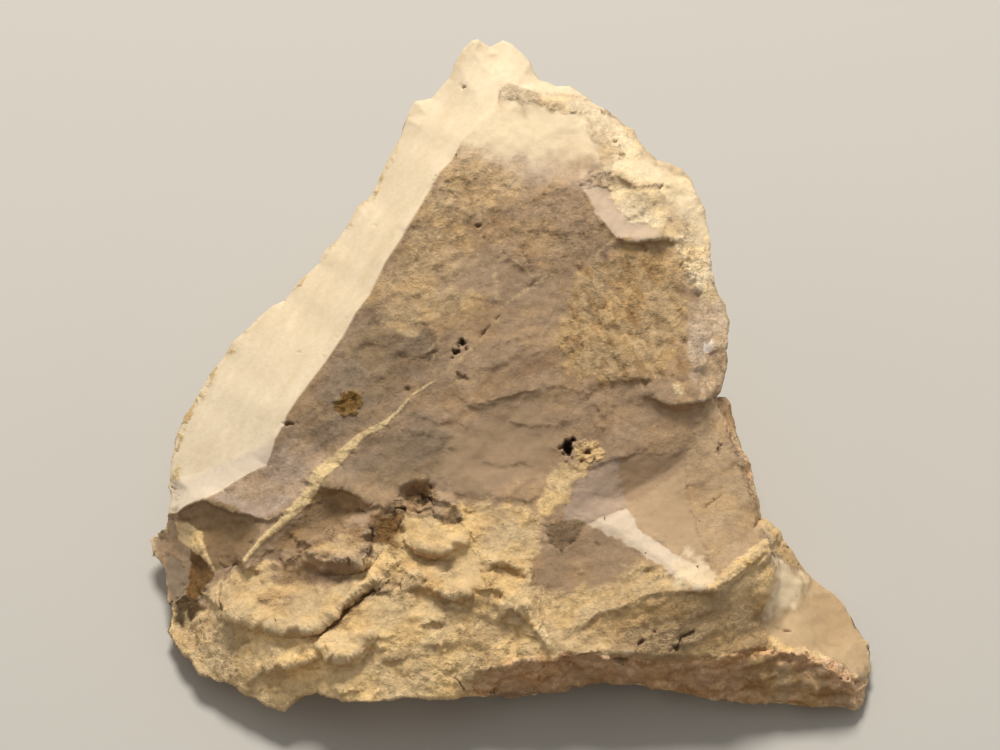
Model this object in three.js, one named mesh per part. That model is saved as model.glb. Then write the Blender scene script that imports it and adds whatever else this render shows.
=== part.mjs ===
// Richellite hand specimen: one broken lump of compact, earthy stone, lying on its flattest side.
// Its broken front is set out on a leaning sheet: u runs right, v up the sheet and w out of it, in mm.
// The lines of sight of an eye straight above the middle of the sheet carry the front back into the stone.
import * as THREE from "three";
import { ImprovedNoise } from "three/addons/math/ImprovedNoise.js";

// Driving dimensions, mm and degrees.
const SHEET_MIDDLE = [50, 37.5];
const SHEET_LEAN = 40;
const EYE_DISTANCE = 278;
const FOOT_LINE = 3;
const CENTRE_X = -0.8;
const CENTRE_Y = -29.7;
const OUTLINE_STEP = 1.1;
const CREASE_STEP = 1.1;
const FRONT_STEP = 1.2;
const BACK_STEP = 2.3;
const WALL_RINGS = 4;
const WALL_INSET = 0.27;
const WALL_WOBBLE = 0.4;
const WALL_BUMP = 0.7;
const RING_EVENING = 6;
const LEAST_THICKNESS = 3;
const STONE_MIDDLE = [48, 28];

// The outline of the stone on the sheet, clockwise from the top: u, v and, at the key points, w.
const OUTLINE = [
  [47.8, 71.1, -9], [49.0, 70.3, -9.6], [50.3, 71.0, -9.6], [51.2, 70.6], [52.2, 69.7], [53.0, 68.8],
  [53.5, 67.5, -8.8], [53.9, 67.0], [54.8, 66.8], [55.6, 66.4, -7.6], [57, 66.4, -8.6], [58, 65.7],
  [59, 64.9], [60, 64.2, -9], [60.7, 64.0], [61.2, 63.4], [62, 62.8], [63.4, 62.1, -8.6], [64, 61],
  [64.6, 60], [65.7, 58.9, -7.6], [67.2, 58.5, -8], [68.2, 57.9], [69, 57.1, -7.6], [69.3, 56.2],
  [69.9, 55.2], [70.4, 54.2, -5.8], [70.6, 53.2], [70.8, 52.0, -5], [71.0, 50.8], [71.0, 49.2, -4.4],
  [71.2, 47.8], [71.6, 46.6], [72.0, 45.2, -3.8], [72.5, 44.1], [72.9, 42.8, -3.2], [72.7, 41.5],
  [72.8, 40, -2.6], [72.9, 39], [72.7, 37.8], [72.2, 36.5], [72.0, 36.0, -2], [71.6, 35.4, -2],
  [71.8, 35.2, -6.4], [72.6, 35.2, -7], [73.1, 34.5, -7], [73.1, 33.5], [73.4, 32.5, -6.6],
  [73.8, 31.3, -6.2], [74.1, 30.3], [74.7, 29.3, -5.8], [75.1, 28.2, -5.4], [75.4, 26.8],
  [75.7, 25.5, -4.6], [75.9, 24, -4.2], [76.0, 23.1, -4.4], [76.8, 22.9], [77.4, 22.3], [78.0, 21.9],
  [78.3, 20.9, -6], [79.2, 20.2], [80, 19, -7], [80.6, 18], [81.4, 17.0, -7], [82.5, 16.2],
  [83.5, 15.5, -6.6], [84.5, 14.3], [85.3, 13.3, -5.4], [85.8, 12.2], [86.5, 11, -3.8], [87.0, 9.8],
  [87.2, 8.8, -2.4], [87.1, 7.8], [86.6, 6.8], [86.2, 5.8], [86.0, 4.7], [85.5, 4.2, 1.2], [83, 4.4],
  [80, 4.6], [76, 4.8], [72, 5.1], [69, 5.5], [66, 6.0], [63, 6.4], [61, 6.6], [59, 6.4], [56, 5.8],
  [53, 5.5], [50, 5.3, 2.2], [47, 5.2, 4.8], [45, 5.1, 6], [43, 5.1], [40, 5.0, 6.5], [38, 4.9],
  [36, 4.7, 6.1], [34.5, 4.8], [33.0, 5.2, 5.2], [31.8, 6.0, 4.2], [30.0, 5.2], [29.2, 4.4],
  [28.2, 3.8, 3.6], [26.8, 4.4], [25.6, 5.2], [24.3, 5.3, 2.4], [23.6, 6.2], [22.8, 6.7],
  [21.0, 7.1, 0.6], [20.0, 7.7], [19.3, 8.7, -1], [18.8, 9.3], [18.0, 10.0], [17.2, 11.0],
  [16.7, 12.0, -4.6], [16.9, 13.0],
  [17.2, 14.3, -6], [17.0, 15.2], [16.6, 16.5, -7], [16.5, 18], [16.0, 19.0, -8.4], [15.5, 20.0],
  [15.3, 21.0, -10], [16.0, 21.3], [16.6, 22.0, -8.6], [16.9, 23.5], [17.1, 24.5, -8.4], [17.1, 25.5],
  [16.9, 26.2], [17.0, 27.5, -8.8], [17.1, 29.0], [17.6, 30.5], [18.0, 32.0, -9.2], [18.6, 33.5],
  [19.5, 35.0], [20.2, 36.2], [20.7, 37.2], [21.5, 38.2], [22.5, 39.5, -9], [23.2, 40.8],
  [24.5, 41.9], [25.8, 43.2, -8.6], [27.2, 44.4], [28.5, 45.0], [29.0, 45.6, -8.4], [29.7, 46.7],
  [30.5, 47.4], [31.8, 48.6], [32.5, 50.0], [33.7, 51.0], [34.5, 52.1], [35.0, 53.0, -8.4],
  [35.7, 54.3], [37.0, 55.3], [37.8, 56.8], [38.4, 58.3], [39.0, 59.5], [40.0, 61.2], [40.5, 62.5],
  [40.8, 63.7], [41.5, 64.9, -9.6], [43.2, 65.2], [44.0, 66.2], [44.9, 67.2], [45.6, 68.8],
  [46.2, 70.0], [47.2, 71.0],
];

// Creases of the broken front: the crests, ledge lips, step feet and valleys it bends along, u, v, w.
const CREASES = {
  apexDip: [[49.1, 69, -8.6], [49.3, 67.5, -7], [50, 66, -5.6]],
  bevelCrest: [
    [50, 66, -5.6], [49.7, 64.6, -4.8], [48, 63, -3.9], [46.2, 61, -3], [45.2, 59, -2.5],
    [44, 57.8, -2.2], [42.2, 54.7, -1.7], [41.2, 53, -1.5], [40, 51, -1.3], [38.5, 48.8, -1.1],
    [37, 45.6, -0.9], [35.6, 43.8, -0.8], [34.3, 41.4, -0.7], [32.5, 38.8, -0.6], [31.1, 37, -0.6],
    [29.8, 35.3, -0.7], [28.6, 33.5, -0.8], [28.3, 32.5, -0.8], [27.5, 31.2, -1], [27, 29.5, -1.2],
    [26.6, 28.5, -1.4], [25, 27.8, -1.8], [23.5, 26.9, -2.3], [22.2, 26, -2.7], [21, 25.3, -3],
    [19.8, 25, -4], [19, 24.6, -4.8], [18, 23.9, -5.8],
  ],
  bevelFoot: [[17.6, 27.1, -8], [19.6, 27.6, -6.6], [21.8, 28.6, -5], [24.4, 29.6, -3.2], [26.4, 30.2, -1.8]],
  capUpper: [[50.8, 66.6, -5.3], [52.5, 66.1, -5.2], [54.5, 65.4, -5.2], [57, 64.3, -5.4]],
  capLower: [[50.6, 65.1, -4.9], [52, 64.7, -4.8], [54.5, 64, -4.8], [57.4, 63.2, -5], [58.6, 62.2, -4.8]],
  rightRidge: [
    [58.6, 62.2, -4.8], [59.4, 61, -4.2], [60, 59.8, -3.6], [60.5, 58.6, -3], [61.2, 57.6, -2.8],
    [62.2, 57.4, -3], [63.5, 56.4, -3], [65, 55.4, -3.2], [66, 54, -3.2], [66.6, 52.6, -3],
    [66.8, 51.4, -2.6],
  ],
  scarTop: [[57.7, 56.5, -2.2], [59, 57.4, -2.6], [60, 57.9, -2.9], [61.2, 57.6, -2.8]],
  scarEdge: [
    [57.7, 56.5, -2.2], [58.4, 54.9, -1.7], [59.2, 53.6, -1.4], [60.5, 52, -1.1], [61.7, 50.9, -0.9],
  ],
  scarFoot: [[59.5, 56.6, -2.9], [60.3, 55.4, -2.7], [61.2, 54, -2.2], [62.3, 52.7, -1.6]],
  scarLip: [[61.7, 50.9, -0.9], [62.6, 50.8, -0.9], [64.4, 51.2, -1], [66, 51.3, -1.5], [66.8, 51.4, -2.2]],
  scarUnder: [[62.6, 50.1, -1.2], [64.4, 50.4, -1.5], [66, 50.5, -2.1]],
  ochreRight: [
    [67, 50.6, -2.7], [67.7, 49.4, -2.6], [68.6, 47.6, -2.4], [69.4, 45.6, -2.3], [68.9, 43.5, -1.3],
    [68.9, 41, -0.5], [69.2, 38.5, 0.3], [69.2, 36.8, 1],
  ],
  mainLip: [
    [45.6, 36, 0.75], [46.5, 35.2, 0.9], [47.6, 34.5, 1.05], [48.5, 34.9, 1.1], [49.5, 35.1, 1.1],
    [51, 35.4, 1.05], [52.5, 35.9, 1], [54, 36, 0.9], [55.5, 35.8, 0.8], [57, 36, 0.7],
    [58.5, 36.4, 0.7],
  ],
  mainLipUnder: [
    [47.7, 33.8, 0.85], [49.5, 34.4, 0.85], [51.5, 34.7, 0.8], [53.6, 35.2, 0.75], [56, 34.9, 0.65],
  ],
  secondBowlLip: [
    [58.5, 36.4, 0.7], [59.8, 36.8, 0.75], [61.5, 37.1, 0.85], [63.8, 37.4, 1], [65.2, 37, 1.1],
  ],
  secondBowlUnder: [[58.4, 35.5, 0.55], [60, 36, 0.55], [62, 36.4, 0.6], [64.4, 36.6, 0.7]],
  bowlRim: [
    [49.3, 25.5, 2.3], [51.5, 26.3, 2.1], [53.5, 26.5, 2], [54.5, 27.2, 1.8], [55.5, 28.5, 1.5],
    [56, 29.5, 1.3],
  ],
  vein: [
    [43.6, 37, 0.7], [41.2, 35.5, 0.8], [40, 34, 0.9], [38, 32.3, 1], [36, 31.3, 1], [34.5, 29.8, 1.1],
    [33.5, 28.8, 1.1], [32, 27.5, 1.3], [31.2, 26, 1.4], [30, 24.5, 1.4], [28.5, 23, 1.4],
    [27, 21.7, 1.3], [25.8, 20.5, 1.2], [24.5, 19, 1],
  ],
  secondLip: [
    [32.2, 26.4, 1.5], [34, 26.5, 1.8], [35.2, 26.1, 2], [35.8, 25.6, 2.1], [37, 24.9, 2.2],
    [38.2, 24.4, 2.3], [39.4, 24.2, 2.2],
  ],
  secondLipUnder: [[31.4, 24.9, 1.1], [33, 24.6, 1.1], [34.4, 23.6, 1.3], [36.2, 23.9, 1.6]],
  leftRidge: [[21, 25.3, -3], [22.5, 24.3, -2], [24, 23.6, -1], [25.2, 23.1, -0.2], [26.2, 22.8, 0.4]],
  leftStrip: [[18, 22.6, -6.6], [19.4, 21.9, -4.8], [20, 20.6, -3.6], [20.8, 18.8, -3], [21.2, 17.9, -2.8]],
  leftFacetFoot: [[21.2, 17.9, -2.8], [22.5, 18.1, -2.3], [23.7, 18.5, -1]],
  firstLump: [
    [30, 20, 1.8], [31, 18.8, 2.6], [32, 18.3, 3], [33, 18.2, 3.3], [34.5, 18.2, 3.6], [35.8, 18.4, 3.7],
    [36.8, 18.9, 3.6], [37.2, 20, 3.2], [37.2, 21.5, 2.9], [36.6, 23, 2.5],
  ],
  firstLumpUnder: [[30.8, 18, 1.9], [32.6, 17.5, 2.4], [34.6, 17.4, 2.7], [36.8, 17.9, 3], [38.1, 19.4, 2.9]],
  slabLip: [
    [23.2, 13.8, 2], [25, 13, 3.2], [27, 12.3, 4.1], [29, 11.9, 4.6], [30.5, 12, 4.9], [32, 12.6, 4.9],
    [33.2, 13.5, 4.8], [35, 15, 4.5], [37, 16.4, 4.4], [38.5, 17.4, 4.4],
  ],
  slabUnder: [
    [23.6, 12.8, 1.5], [25.2, 12.2, 2.5], [27, 11.5, 3.3], [29, 11.1, 3.9], [31, 11.3, 4.2],
    [33, 12.3, 4.2], [35.3, 14, 3.9], [37.4, 15.6, 3.9],
  ],
  lowLip: [[26.8, 8, 3.7], [28.5, 8.2, 4.6], [30, 8.8, 5], [31.5, 9.1, 5.2]],
  lowUnder: [[27, 7.1, 2.9], [28.6, 7.3, 3.5], [30.4, 7.9, 4.1], [31.8, 8.2, 4.4]],
  bulge: [
    [31.8, 10.5, 5.1], [32.4, 9.6, 5.6], [33.5, 9, 6], [34.6, 8.9, 6.1], [35.3, 9.4, 6.1],
    [35.9, 10.4, 6], [36.8, 11.6, 5.8],
  ],
  bulgeUnder: [[32.6, 8.7, 4.8], [33.9, 8.2, 5.1], [35.2, 8.2, 5.2], [36.3, 9, 5.3], [37.3, 10.6, 5.3]],
  hollow: [[40.7, 25.3, 0.9], [41.8, 25.6, 0.6], [42.9, 25.3, 0.9]],
  hollowRim: [
    [39.6, 25.3, 2.1], [40.2, 26.6, 1.9], [41.5, 27.1, 1.8], [43, 27.2, 1.8], [43.8, 26.2, 2.1],
    [43.7, 24.9, 2.3], [42.4, 24.1, 2.2], [40.6, 23.9, 2.2],
  ],
  paleBlock: [[42, 20.4, 4.1], [43.5, 20, 4.4], [44.6, 19.9, 4.5], [45.6, 20.3, 4.3], [46.2, 21.6, 3.8]],
  paleBlockUnder: [[41.8, 19.5, 3.5], [43.6, 19.1, 3.7], [45, 18.9, 3.9], [46.6, 19.7, 3.8]],
  smallLip: [[44.8, 24.8, 2.6], [45.6, 24, 2.8], [46.4, 22.8, 3.1], [47, 21.8, 3.3]],
  smallLipUnder: [[45.8, 25, 2.1], [46.6, 24, 2.3], [47.5, 22.9, 2.7]],
  middleLedge: [[49.2, 18.9, 4.8], [50.2, 18.9, 4.9], [51.2, 18.6, 4.9], [52, 18.2, 4.9]],
  middleLedgeUnder: [[49.4, 18.2, 4.4], [50.8, 18, 4.4], [51.8, 17.5, 4.5]],
  footLip: [[41.4, 16.8, 4.8], [42.6, 16.2, 5.2], [44, 15.8, 5.5], [46, 15.2, 5.8]],
  footLipUnder: [[41.4, 15.9, 4.4], [43, 15.2, 4.8], [45, 14.7, 5], [46.8, 14.4, 5.2]],
  middleCrest: [[51.8, 20, 4.2], [52.5, 18, 4.9], [53, 16, 5.4], [53.6, 14, 5.9], [54.2, 12.2, 6.2]],
  middleValley: [[53, 20, 3.8], [53.6, 17.8, 4.3], [54.2, 15.6, 4.7], [54.8, 13.4, 5.2]],
  darkTriangle: [[50.4, 14.4, 5.8], [52, 14, 6], [53, 13, 6.1], [54.2, 11.2, 6.4], [55, 10.3, 6.6]],
  darkTriangleFoot: [[50.2, 12.6, 5], [51.4, 11.6, 5.2], [53, 10.9, 5.7]],
  wallTop: [
    [47.4, 6.2, 4.8], [48, 7.2, 5.3], [49, 7.9, 5.7], [51, 8.4, 6], [53, 8.9, 6.3], [55, 9.5, 6.6],
    [57.5, 9.5, 6.8], [60, 9.9, 6.8], [62.5, 9.8, 6.7], [66, 9.6, 6.5], [70, 9.4, 6.3], [73, 9.4, 5.7],
  ],
  longCrest: [
    [58.3, 23.4, 2.9], [60.3, 22.7, 3.5], [62.2, 21.7, 4.2], [64, 20.4, 5], [66, 19.2, 5.8],
    [68, 17.5, 6.8], [69, 16.5, 7.3], [70.3, 16.1, 7.5], [71.4, 16.2, 7.4], [72.6, 17.2, 6.8],
    [74, 18.4, 5.7], [75.3, 19.4, 4.6], [76.5, 20.3, 3.6],
  ],
  bandTop: [
    [59.6, 24.2, 2.6], [62.5, 23.6, 2.9], [64.4, 22.5, 3.4], [66.4, 21.2, 4], [68.4, 19.6, 4.8],
    [70, 18, 5.7],
  ],
  underCrest: [
    [57.6, 11, 5.9], [59, 12.2, 5.9], [60, 12.8, 6], [62, 14, 6.3], [64, 14.7, 6.6], [66, 15.4, 6.9],
    [68, 15.9, 7.2], [69, 16.5, 7.3],
  ],
  creamValley: [[54.8, 13.4, 5.2], [56, 12, 5.6], [57.6, 10.9, 5.9], [59.6, 10.3, 6.2]],
  beigeValley: [[59.6, 25.3, 1.9], [61.5, 25, 1.5], [64, 26.3, 1.1], [66.4, 27.6, 0.9], [68.1, 28.9, 0.8]],
  planeLeft: [
    [68.3, 28.4, 0.9], [68.3, 26.4, 1.5], [68.6, 25, 2.1], [69.5, 23, 3], [70.4, 20, 4.6],
    [71.1, 17.6, 6.4],
  ],
  ledge: [
    [65.3, 36, 1.3], [66, 35, 1.5], [67.5, 34.5, 1.6], [69, 34.7, 1.5], [70.4, 35, 0.8],
    [71.2, 35.5, -0.6],
  ],
  ledgeUnder: [[65.8, 34.2, 1], [67.6, 33.7, 1], [69.2, 33.9, 0.8], [70.4, 34.2, 0]],
  planeRight: [
    [71.8, 34, -1.8], [72.4, 32.6, -1.4], [73.2, 30, -0.8], [74.2, 27, -0.1], [75.1, 24.8, 0.5],
    [75.5, 23.4, 0.8], [76, 22, 1.8],
  ],
  blockRight: [
    [76.5, 20.3, 3.6], [77.1, 18.8, 3.3], [77.4, 17.2, 3.5], [76.8, 15.8, 3.8], [76.2, 14.8, 3.9],
    [75.4, 13.9, 3.9],
  ],
  tailFoot: [[77.5, 20.6, -1.4], [78, 18.8, -0.9], [78.1, 17, -0.1], [77.4, 15.2, 1.3], [76.4, 14, 2.2]],
  tailCrest: [
    [75.6, 13.2, 2.8], [76.3, 11.6, 3.3], [77.6, 10.3, 3.6], [79.2, 9.8, 3.7], [80.6, 9.5, 3.7],
    [82, 8.6, 3.5], [83.6, 7.7, 3.2], [85.2, 6.9, 2.7],
  ],
};

// Spot heights between the creases, u, v, w.
const SPOTS = [
  [48, 69.4, -8], [46.8, 67.4, -7.4], [51, 69, -8], [52, 67.8, -6.8], [54, 63, -4.6], [53, 60, -3.2],
  [52, 57, -2.2], [52, 54, -1.6], [52, 50, -1], [52, 46, -0.5], [52, 42, 0.1], [52, 39, 0.6],
  [48, 57, -2.3], [45, 54, -1.6], [45, 50, -1.1], [45, 46, -0.5], [40, 46, -0.7], [40, 42, -0.2],
  [36, 40, -0.3], [36, 36, 0.3], [40, 38, 0.3], [45, 41, 0.1], [48, 37.5, 0.75], [52, 37.4, 0.8],
  [56, 56, -2.2], [57, 60, -3.6], [56, 52, -1.3], [56, 46, -0.5], [57, 42, 0.1], [57, 39, 0.6],
  [33, 36, 0], [31, 33, 0], [35, 33.5, 0.5], [30, 30, 0.1], [27, 27, -0.8], [30, 27, 0.5],
  [28, 25, 0.3], [24, 25.6, -1.5], [25.8, 24.6, -0.5], [22.5, 21.5, -2.8], [24.4, 21, -1.2],
  [50, 31.5, 0.9], [54, 31, 0.8], [46, 31, 1.3], [42, 30, 1.3], [50, 28.5, 1.4], [46, 27.6, 1.9],
  [52.4, 27.8, 1.5], [48, 26.2, 2.3], [38, 29.5, 1.2], [42, 28.2, 1.6], [36, 27.6, 1.4],
  [62, 33.5, 0.7], [64.5, 34, 0.8], [60, 32, 1], [62, 30.2, 1.5], [66, 31.6, 1.2], [58.4, 30, 1.2],
  [58, 27.4, 1.8], [60.6, 27.6, 1.6], [67, 30, 1.2], [64, 29, 1.4],
  [62, 48.8, -1.1], [60, 46.6, -0.7], [64, 47, -1], [67, 46, -1.5], [66, 42, -0.3], [61, 42, 0.2],
  [67, 38.6, 0.9], [63, 39, 0.7], [63.5, 54.4, -2.6], [65, 53, -2.4], [64, 52.3, -1.7],
  [60.4, 61.6, -6], [62, 59.8, -5.4],
  [63.6, 58.6, -5], [66, 56.6, -5], [68, 54.6, -4.8], [69, 51, -4], [70.2, 48, -4], [71.4, 43, -3],
  [70.8, 40.5, -1.6], [71.2, 37.8, -1.8],
  [17.8, 20.8, -7.4], [18.5, 19.6, -6.2], [18.4, 17, -5.8], [18.2, 15.4, -5.4], [19.2, 18.4, -5],
  [20.4, 16.8, -3.6], [19.6, 15.6, -4.2], [18.4, 14, -4.6], [18, 12.6, -4], [20, 13.6, -2.4],
  [21.6, 15.4, -1.9], [22, 17, -2.3], [29.4, 21.6, 1], [28, 20.2, 0.9], [27.2, 18.8, 1],
  [32.4, 22.4, 1.3], [34.5, 21, 2.7], [33, 20.5, 2.3], [35.4, 22.5, 2.3], [24.6, 17.8, 0.6],
  [27, 17.2, 1.4], [30, 16.8, 1.9], [24.6, 15.4, 1.9], [28, 14.8, 2.9], [31, 14.8, 3.4], [34, 16.2, 3.4],
  [22, 12, 0.6], [24, 10.8, 1.9], [21, 14, -1.4], [20, 10, -1], [22, 8.6, 0.9], [25.4, 9.4, 2.9],
  [28, 9.8, 4], [30, 10.2, 4.6], [29.2, 6, 4], [28, 5, 3.8], [26, 6.2, 3.1], [31.6, 7.2, 4.2],
  [36, 13.6, 4.5], [38, 14.2, 4.9], [35, 12, 5], [38.4, 12, 5.6], [40, 13.4, 5.4], [39.4, 9.6, 5.8],
  [37.6, 8.6, 5.7], [34, 6.8, 5.4], [36.6, 6.4, 6], [40, 7, 6.3], [43, 7.2, 6.2], [46, 8, 6],
  [39.4, 16, 4.4], [39.6, 19.4, 3.2], [40.6, 21.6, 2.9], [38.6, 22.6, 2.4], [41.4, 22.8, 2.8],
  [43.6, 22.9, 3.2], [42.6, 21.6, 3.6], [44.6, 21.4, 3.8], [41, 18.2, 4], [44, 17.4, 4.6],
  [47.4, 17, 5], [48.4, 22, 3.4], [48, 20, 4], [50, 23.2, 3], [53, 23.2, 3], [51, 20.8, 4],
  [52.6, 24.8, 2.5], [55, 25.4, 2.3], [56.8, 23.4, 2.7], [50.8, 16.4, 5], [48.6, 14.6, 5.4],
  [42, 13, 5.4], [45, 12.4, 5.5], [48, 12.2, 5.3], [43, 10.4, 5.9], [46.4, 10.2, 5.9], [49.6, 10.2, 5.6],
  [55, 22, 3], [57, 20, 3.4], [56, 17.6, 4.1], [58.4, 18, 4.2], [60, 16.2, 5], [62, 18.6, 4.9],
  [64, 17, 5.8], [57.4, 14.4, 5], [61, 20.4, 4.1], [64.6, 24.8, 2.1], [66.6, 24.6, 2.3], [67.4, 22.4, 3.3],
  [70, 31.4, 0.5], [71.5, 29, 0.8], [71.6, 26, 1.9], [73.4, 23.4, 2.7], [72.4, 21.2, 3.9],
  [74.4, 21.2, 3.4], [72, 18.8, 5.4], [74.6, 16.4, 5.4], [72, 15, 6.2],
  [79.6, 19, -4.8], [80.4, 17, -4], [79.2, 14, -0.8], [83, 12.5, -3], [85.4, 10.4, -1.8], [80, 11.6, 1.4],
  [83.6, 9.4, 0.8], [62, 12, 6.1], [66, 12.6, 6.5], [70, 12.8, 6.8], [73, 13.2, 6], [68, 10.8, 6.5],
  [72.6, 11, 6], [75, 9.6, 5], [65, 7.8, 5], [60, 8, 5.4], [55, 7.4, 5], [50, 6.6, 4],
  [70, 7.2, 4.4], [75.6, 7.4, 3.8], [80, 7.4, 3.2], [84, 5.8, 2],
];

// Where the front is rougher than its smooth planes: middle u, v, half-widths, and height of the bumps.
const ROUGH_PATCHES = [
  { at: [32, 13], reach: [16, 9], height: 0.2 },
  { at: [49, 14], reach: [9, 9], height: 0.16 },
  { at: [70, 10], reach: [10, 5], height: 0.14 },
  { at: [67, 55], reach: [4, 8], height: 0.2 },
  { at: [63, 44], reach: [6, 8], height: 0.09 },
  { at: [41, 23], reach: [6, 4], height: 0.16 },
];
const PLAIN_BUMP = 0.04;
const BUMP_LENGTH = 2.6;

// Planes the rest of the lump is broken along: a point, and the normal that faces out of the stone.
const BACK_PLANES = [
  { through: [0, 61, 30], facing: [0.05, 0.93, -0.36] },
  { through: [-25, 45, 15], facing: [-0.6, 0.6, -0.5] },
  { through: [-36, 20, 8], facing: [-0.85, 0.1, -0.5] },
  { through: [20, 45, 20], facing: [0.6, 0.65, -0.45] },
  { through: [34, 20, 3], facing: [0.8, 0.25, -0.5] },
];
const BACK_BUMP = 0.8;
const BACK_BUMP_LENGTH = 9;

const STONE_COLOUR = "#c4a77d";

// A point of the sheet in the stone's own frame: x right, y away, z up from the flat it lies on.
function place(u, v, w) {
  const lean = THREE.MathUtils.degToRad(SHEET_LEAN);
  const shrink = 1 - w / EYE_DISTANCE;
  const right = (u - SHEET_MIDDLE[0]) * shrink;
  const up = (v - SHEET_MIDDLE[1]) * shrink + (SHEET_MIDDLE[1] - FOOT_LINE);
  return new THREE.Vector3(
    right,
    up * Math.cos(lean) - w * Math.sin(lean),
    up * Math.sin(lean) + w * Math.cos(lean),
  );
}

// Smooth bumps between -1 and 1, a coarse wave with a finer one on it.
const noise = new ImprovedNoise();
function bumps(x, y, z) {
  return noise.noise(x, y, z) + 0.5 * noise.noise(2.1 * x, 2.1 * y, 2.1 * z + 7);
}

// The same shuffle every time the stone is made.
let seed = 20110;
function chance() {
  seed = (seed * 1103515245 + 12345) % 2147483648;
  return seed / 2147483648;
}

// Points at most one step apart along a line, its own corners kept and w carried evenly between them.
function spaced(line, step) {
  const points = [];
  for (let i = 0; i + 1 < line.length; i++) {
    const [from, to] = [line[i], line[i + 1]];
    const parts = Math.max(1, Math.ceil(Math.hypot(to[0] - from[0], to[1] - from[1]) / step));
    for (let k = 0; k < parts; k++) {
      points.push(from.map((value, axis) => THREE.MathUtils.lerp(value, to[axis], k / parts)));
    }
  }
  points.push(line.at(-1));
  return points;
}

// The outline with w filled in between its key points by distance along it.
function outlineLoop() {
  const closed = [...OUTLINE, OUTLINE[0]];
  const along = [0];
  for (let i = 1; i < closed.length; i++) {
    const leg = Math.hypot(closed[i][0] - closed[i - 1][0], closed[i][1] - closed[i - 1][1]);
    along.push(along[i - 1] + leg);
  }
  const keys = closed.keys().filter((i) => closed[i].length === 3).toArray();
  const filled = closed.map(([u, v, w], i) => {
    if (w !== undefined) return [u, v, w];
    const after = keys.find((k) => k > i);
    const before = keys.findLast((k) => k < i);
    const share = (along[i] - along[before]) / (along[after] - along[before]);
    return [u, v, THREE.MathUtils.lerp(closed[before][2], closed[after][2], share)];
  });
  return spaced(filled, OUTLINE_STEP).slice(0, -1);
}

// Is the point inside the loop?
function inside(loop, u, v) {
  let within = false;
  loop.forEach(([u1, v1], i) => {
    const [u2, v2] = loop.at(i - 1);
    if (v1 > v !== v2 > v && u < ((u2 - u1) * (v - v1)) / (v2 - v1) + u1) within = !within;
  });
  return within;
}

// Points of a shaken triangular grid that lie inside the loop, clear of every point already there.
function filling(loop, taken, step, clear) {
  const points = [];
  for (let row = 0; row * step * 0.866 < 75; row++) {
    for (let column = 0; column * step < 100; column++) {
      const u = (column + (row % 2) / 2 + 0.2 * chance()) * step;
      const v = (row + 0.2 * chance()) * step * 0.866;
      const free = taken.every((point) => Math.hypot(point[0] - u, point[1] - v) > clear);
      if (free && inside(loop, u, v)) points.push([u, v]);
    }
  }
  return points;
}

// Delaunay triangles of a set of points, counter-clockwise, by adding one point at a time.
function delaunay(points) {
  const corners = [...points, [-9e3, -9e3], [9e3, -9e3], [0, 9e3]];
  const count = points.length;
  const triangle = (a, b, c) => {
    const [ax, ay] = corners[a];
    const [bx, by] = [corners[b][0] - ax, corners[b][1] - ay];
    const [cx, cy] = [corners[c][0] - ax, corners[c][1] - ay];
    const twice = 2 * (bx * cy - by * cx);
    const x = (cy * (bx * bx + by * by) - by * (cx * cx + cy * cy)) / twice;
    const y = (bx * (cx * cx + cy * cy) - cx * (bx * bx + by * by)) / twice;
    return { a, b, c, x: ax + x, y: ay + y, reach: x * x + y * y };
  };
  let triangles = [triangle(count, count + 1, count + 2)];
  for (let i = 0; i < count; i++) {
    const [u, v] = corners[i];
    const rim = new Map();
    triangles = triangles.filter(({ a, b, c, x, y, reach }) => {
      if ((u - x) ** 2 + (v - y) ** 2 >= reach) return true;
      for (const [from, to] of [[a, b], [b, c], [c, a]]) {
        if (!rim.delete(`${to},${from}`)) rim.set(`${from},${to}`, [from, to]);
      }
      return false;
    });
    for (const [from, to] of rim.values()) triangles.push(triangle(from, to, i));
  }
  return triangles.filter(({ a, b, c }) => Math.max(a, b, c) < count).map(({ a, b, c }) => [a, b, c]);
}

// The triangles of the points that lie inside the loop, whose own points come first.
function patch(loop, points) {
  return delaunay(points).filter((corners) => {
    const u = corners.reduce((sum, i) => sum + points[i][0], 0) / 3;
    const v = corners.reduce((sum, i) => sum + points[i][1], 0) / 3;
    return inside(loop, u, v);
  });
}

// Height of a faceted surface over a point of the sheet.
function heightOn(points, triangles, u, v) {
  for (const corners of triangles) {
    const [[u1, v1, w1], [u2, v2, w2], [u3, v3, w3]] = corners.map((i) => points[i]);
    const area = (u2 - u1) * (v3 - v1) - (v2 - v1) * (u3 - u1);
    const second = ((u - u1) * (v3 - v1) - (v - v1) * (u3 - u1)) / area;
    const third = ((u2 - u1) * (v - v1) - (v2 - v1) * (u - u1)) / area;
    if (second > -1e-6 && third > -1e-6 && second + third < 1 + 1e-6) {
      return w1 + second * (w2 - w1) + third * (w3 - w1);
    }
  }
  throw new Error(`no facet over ${u}, ${v}`);
}

// Small bumps of the broken front, higher in the rough patches.
function frontBump(u, v) {
  let height = PLAIN_BUMP;
  for (const { at, reach, height: most } of ROUGH_PATCHES) {
    const away = ((u - at[0]) / reach[0]) ** 2 + ((v - at[1]) / reach[1]) ** 2;
    height = Math.max(height, most * THREE.MathUtils.smoothstep(1.6 - away, 0, 1));
  }
  return height * bumps(u / BUMP_LENGTH, v / BUMP_LENGTH, 3.3);
}

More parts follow.
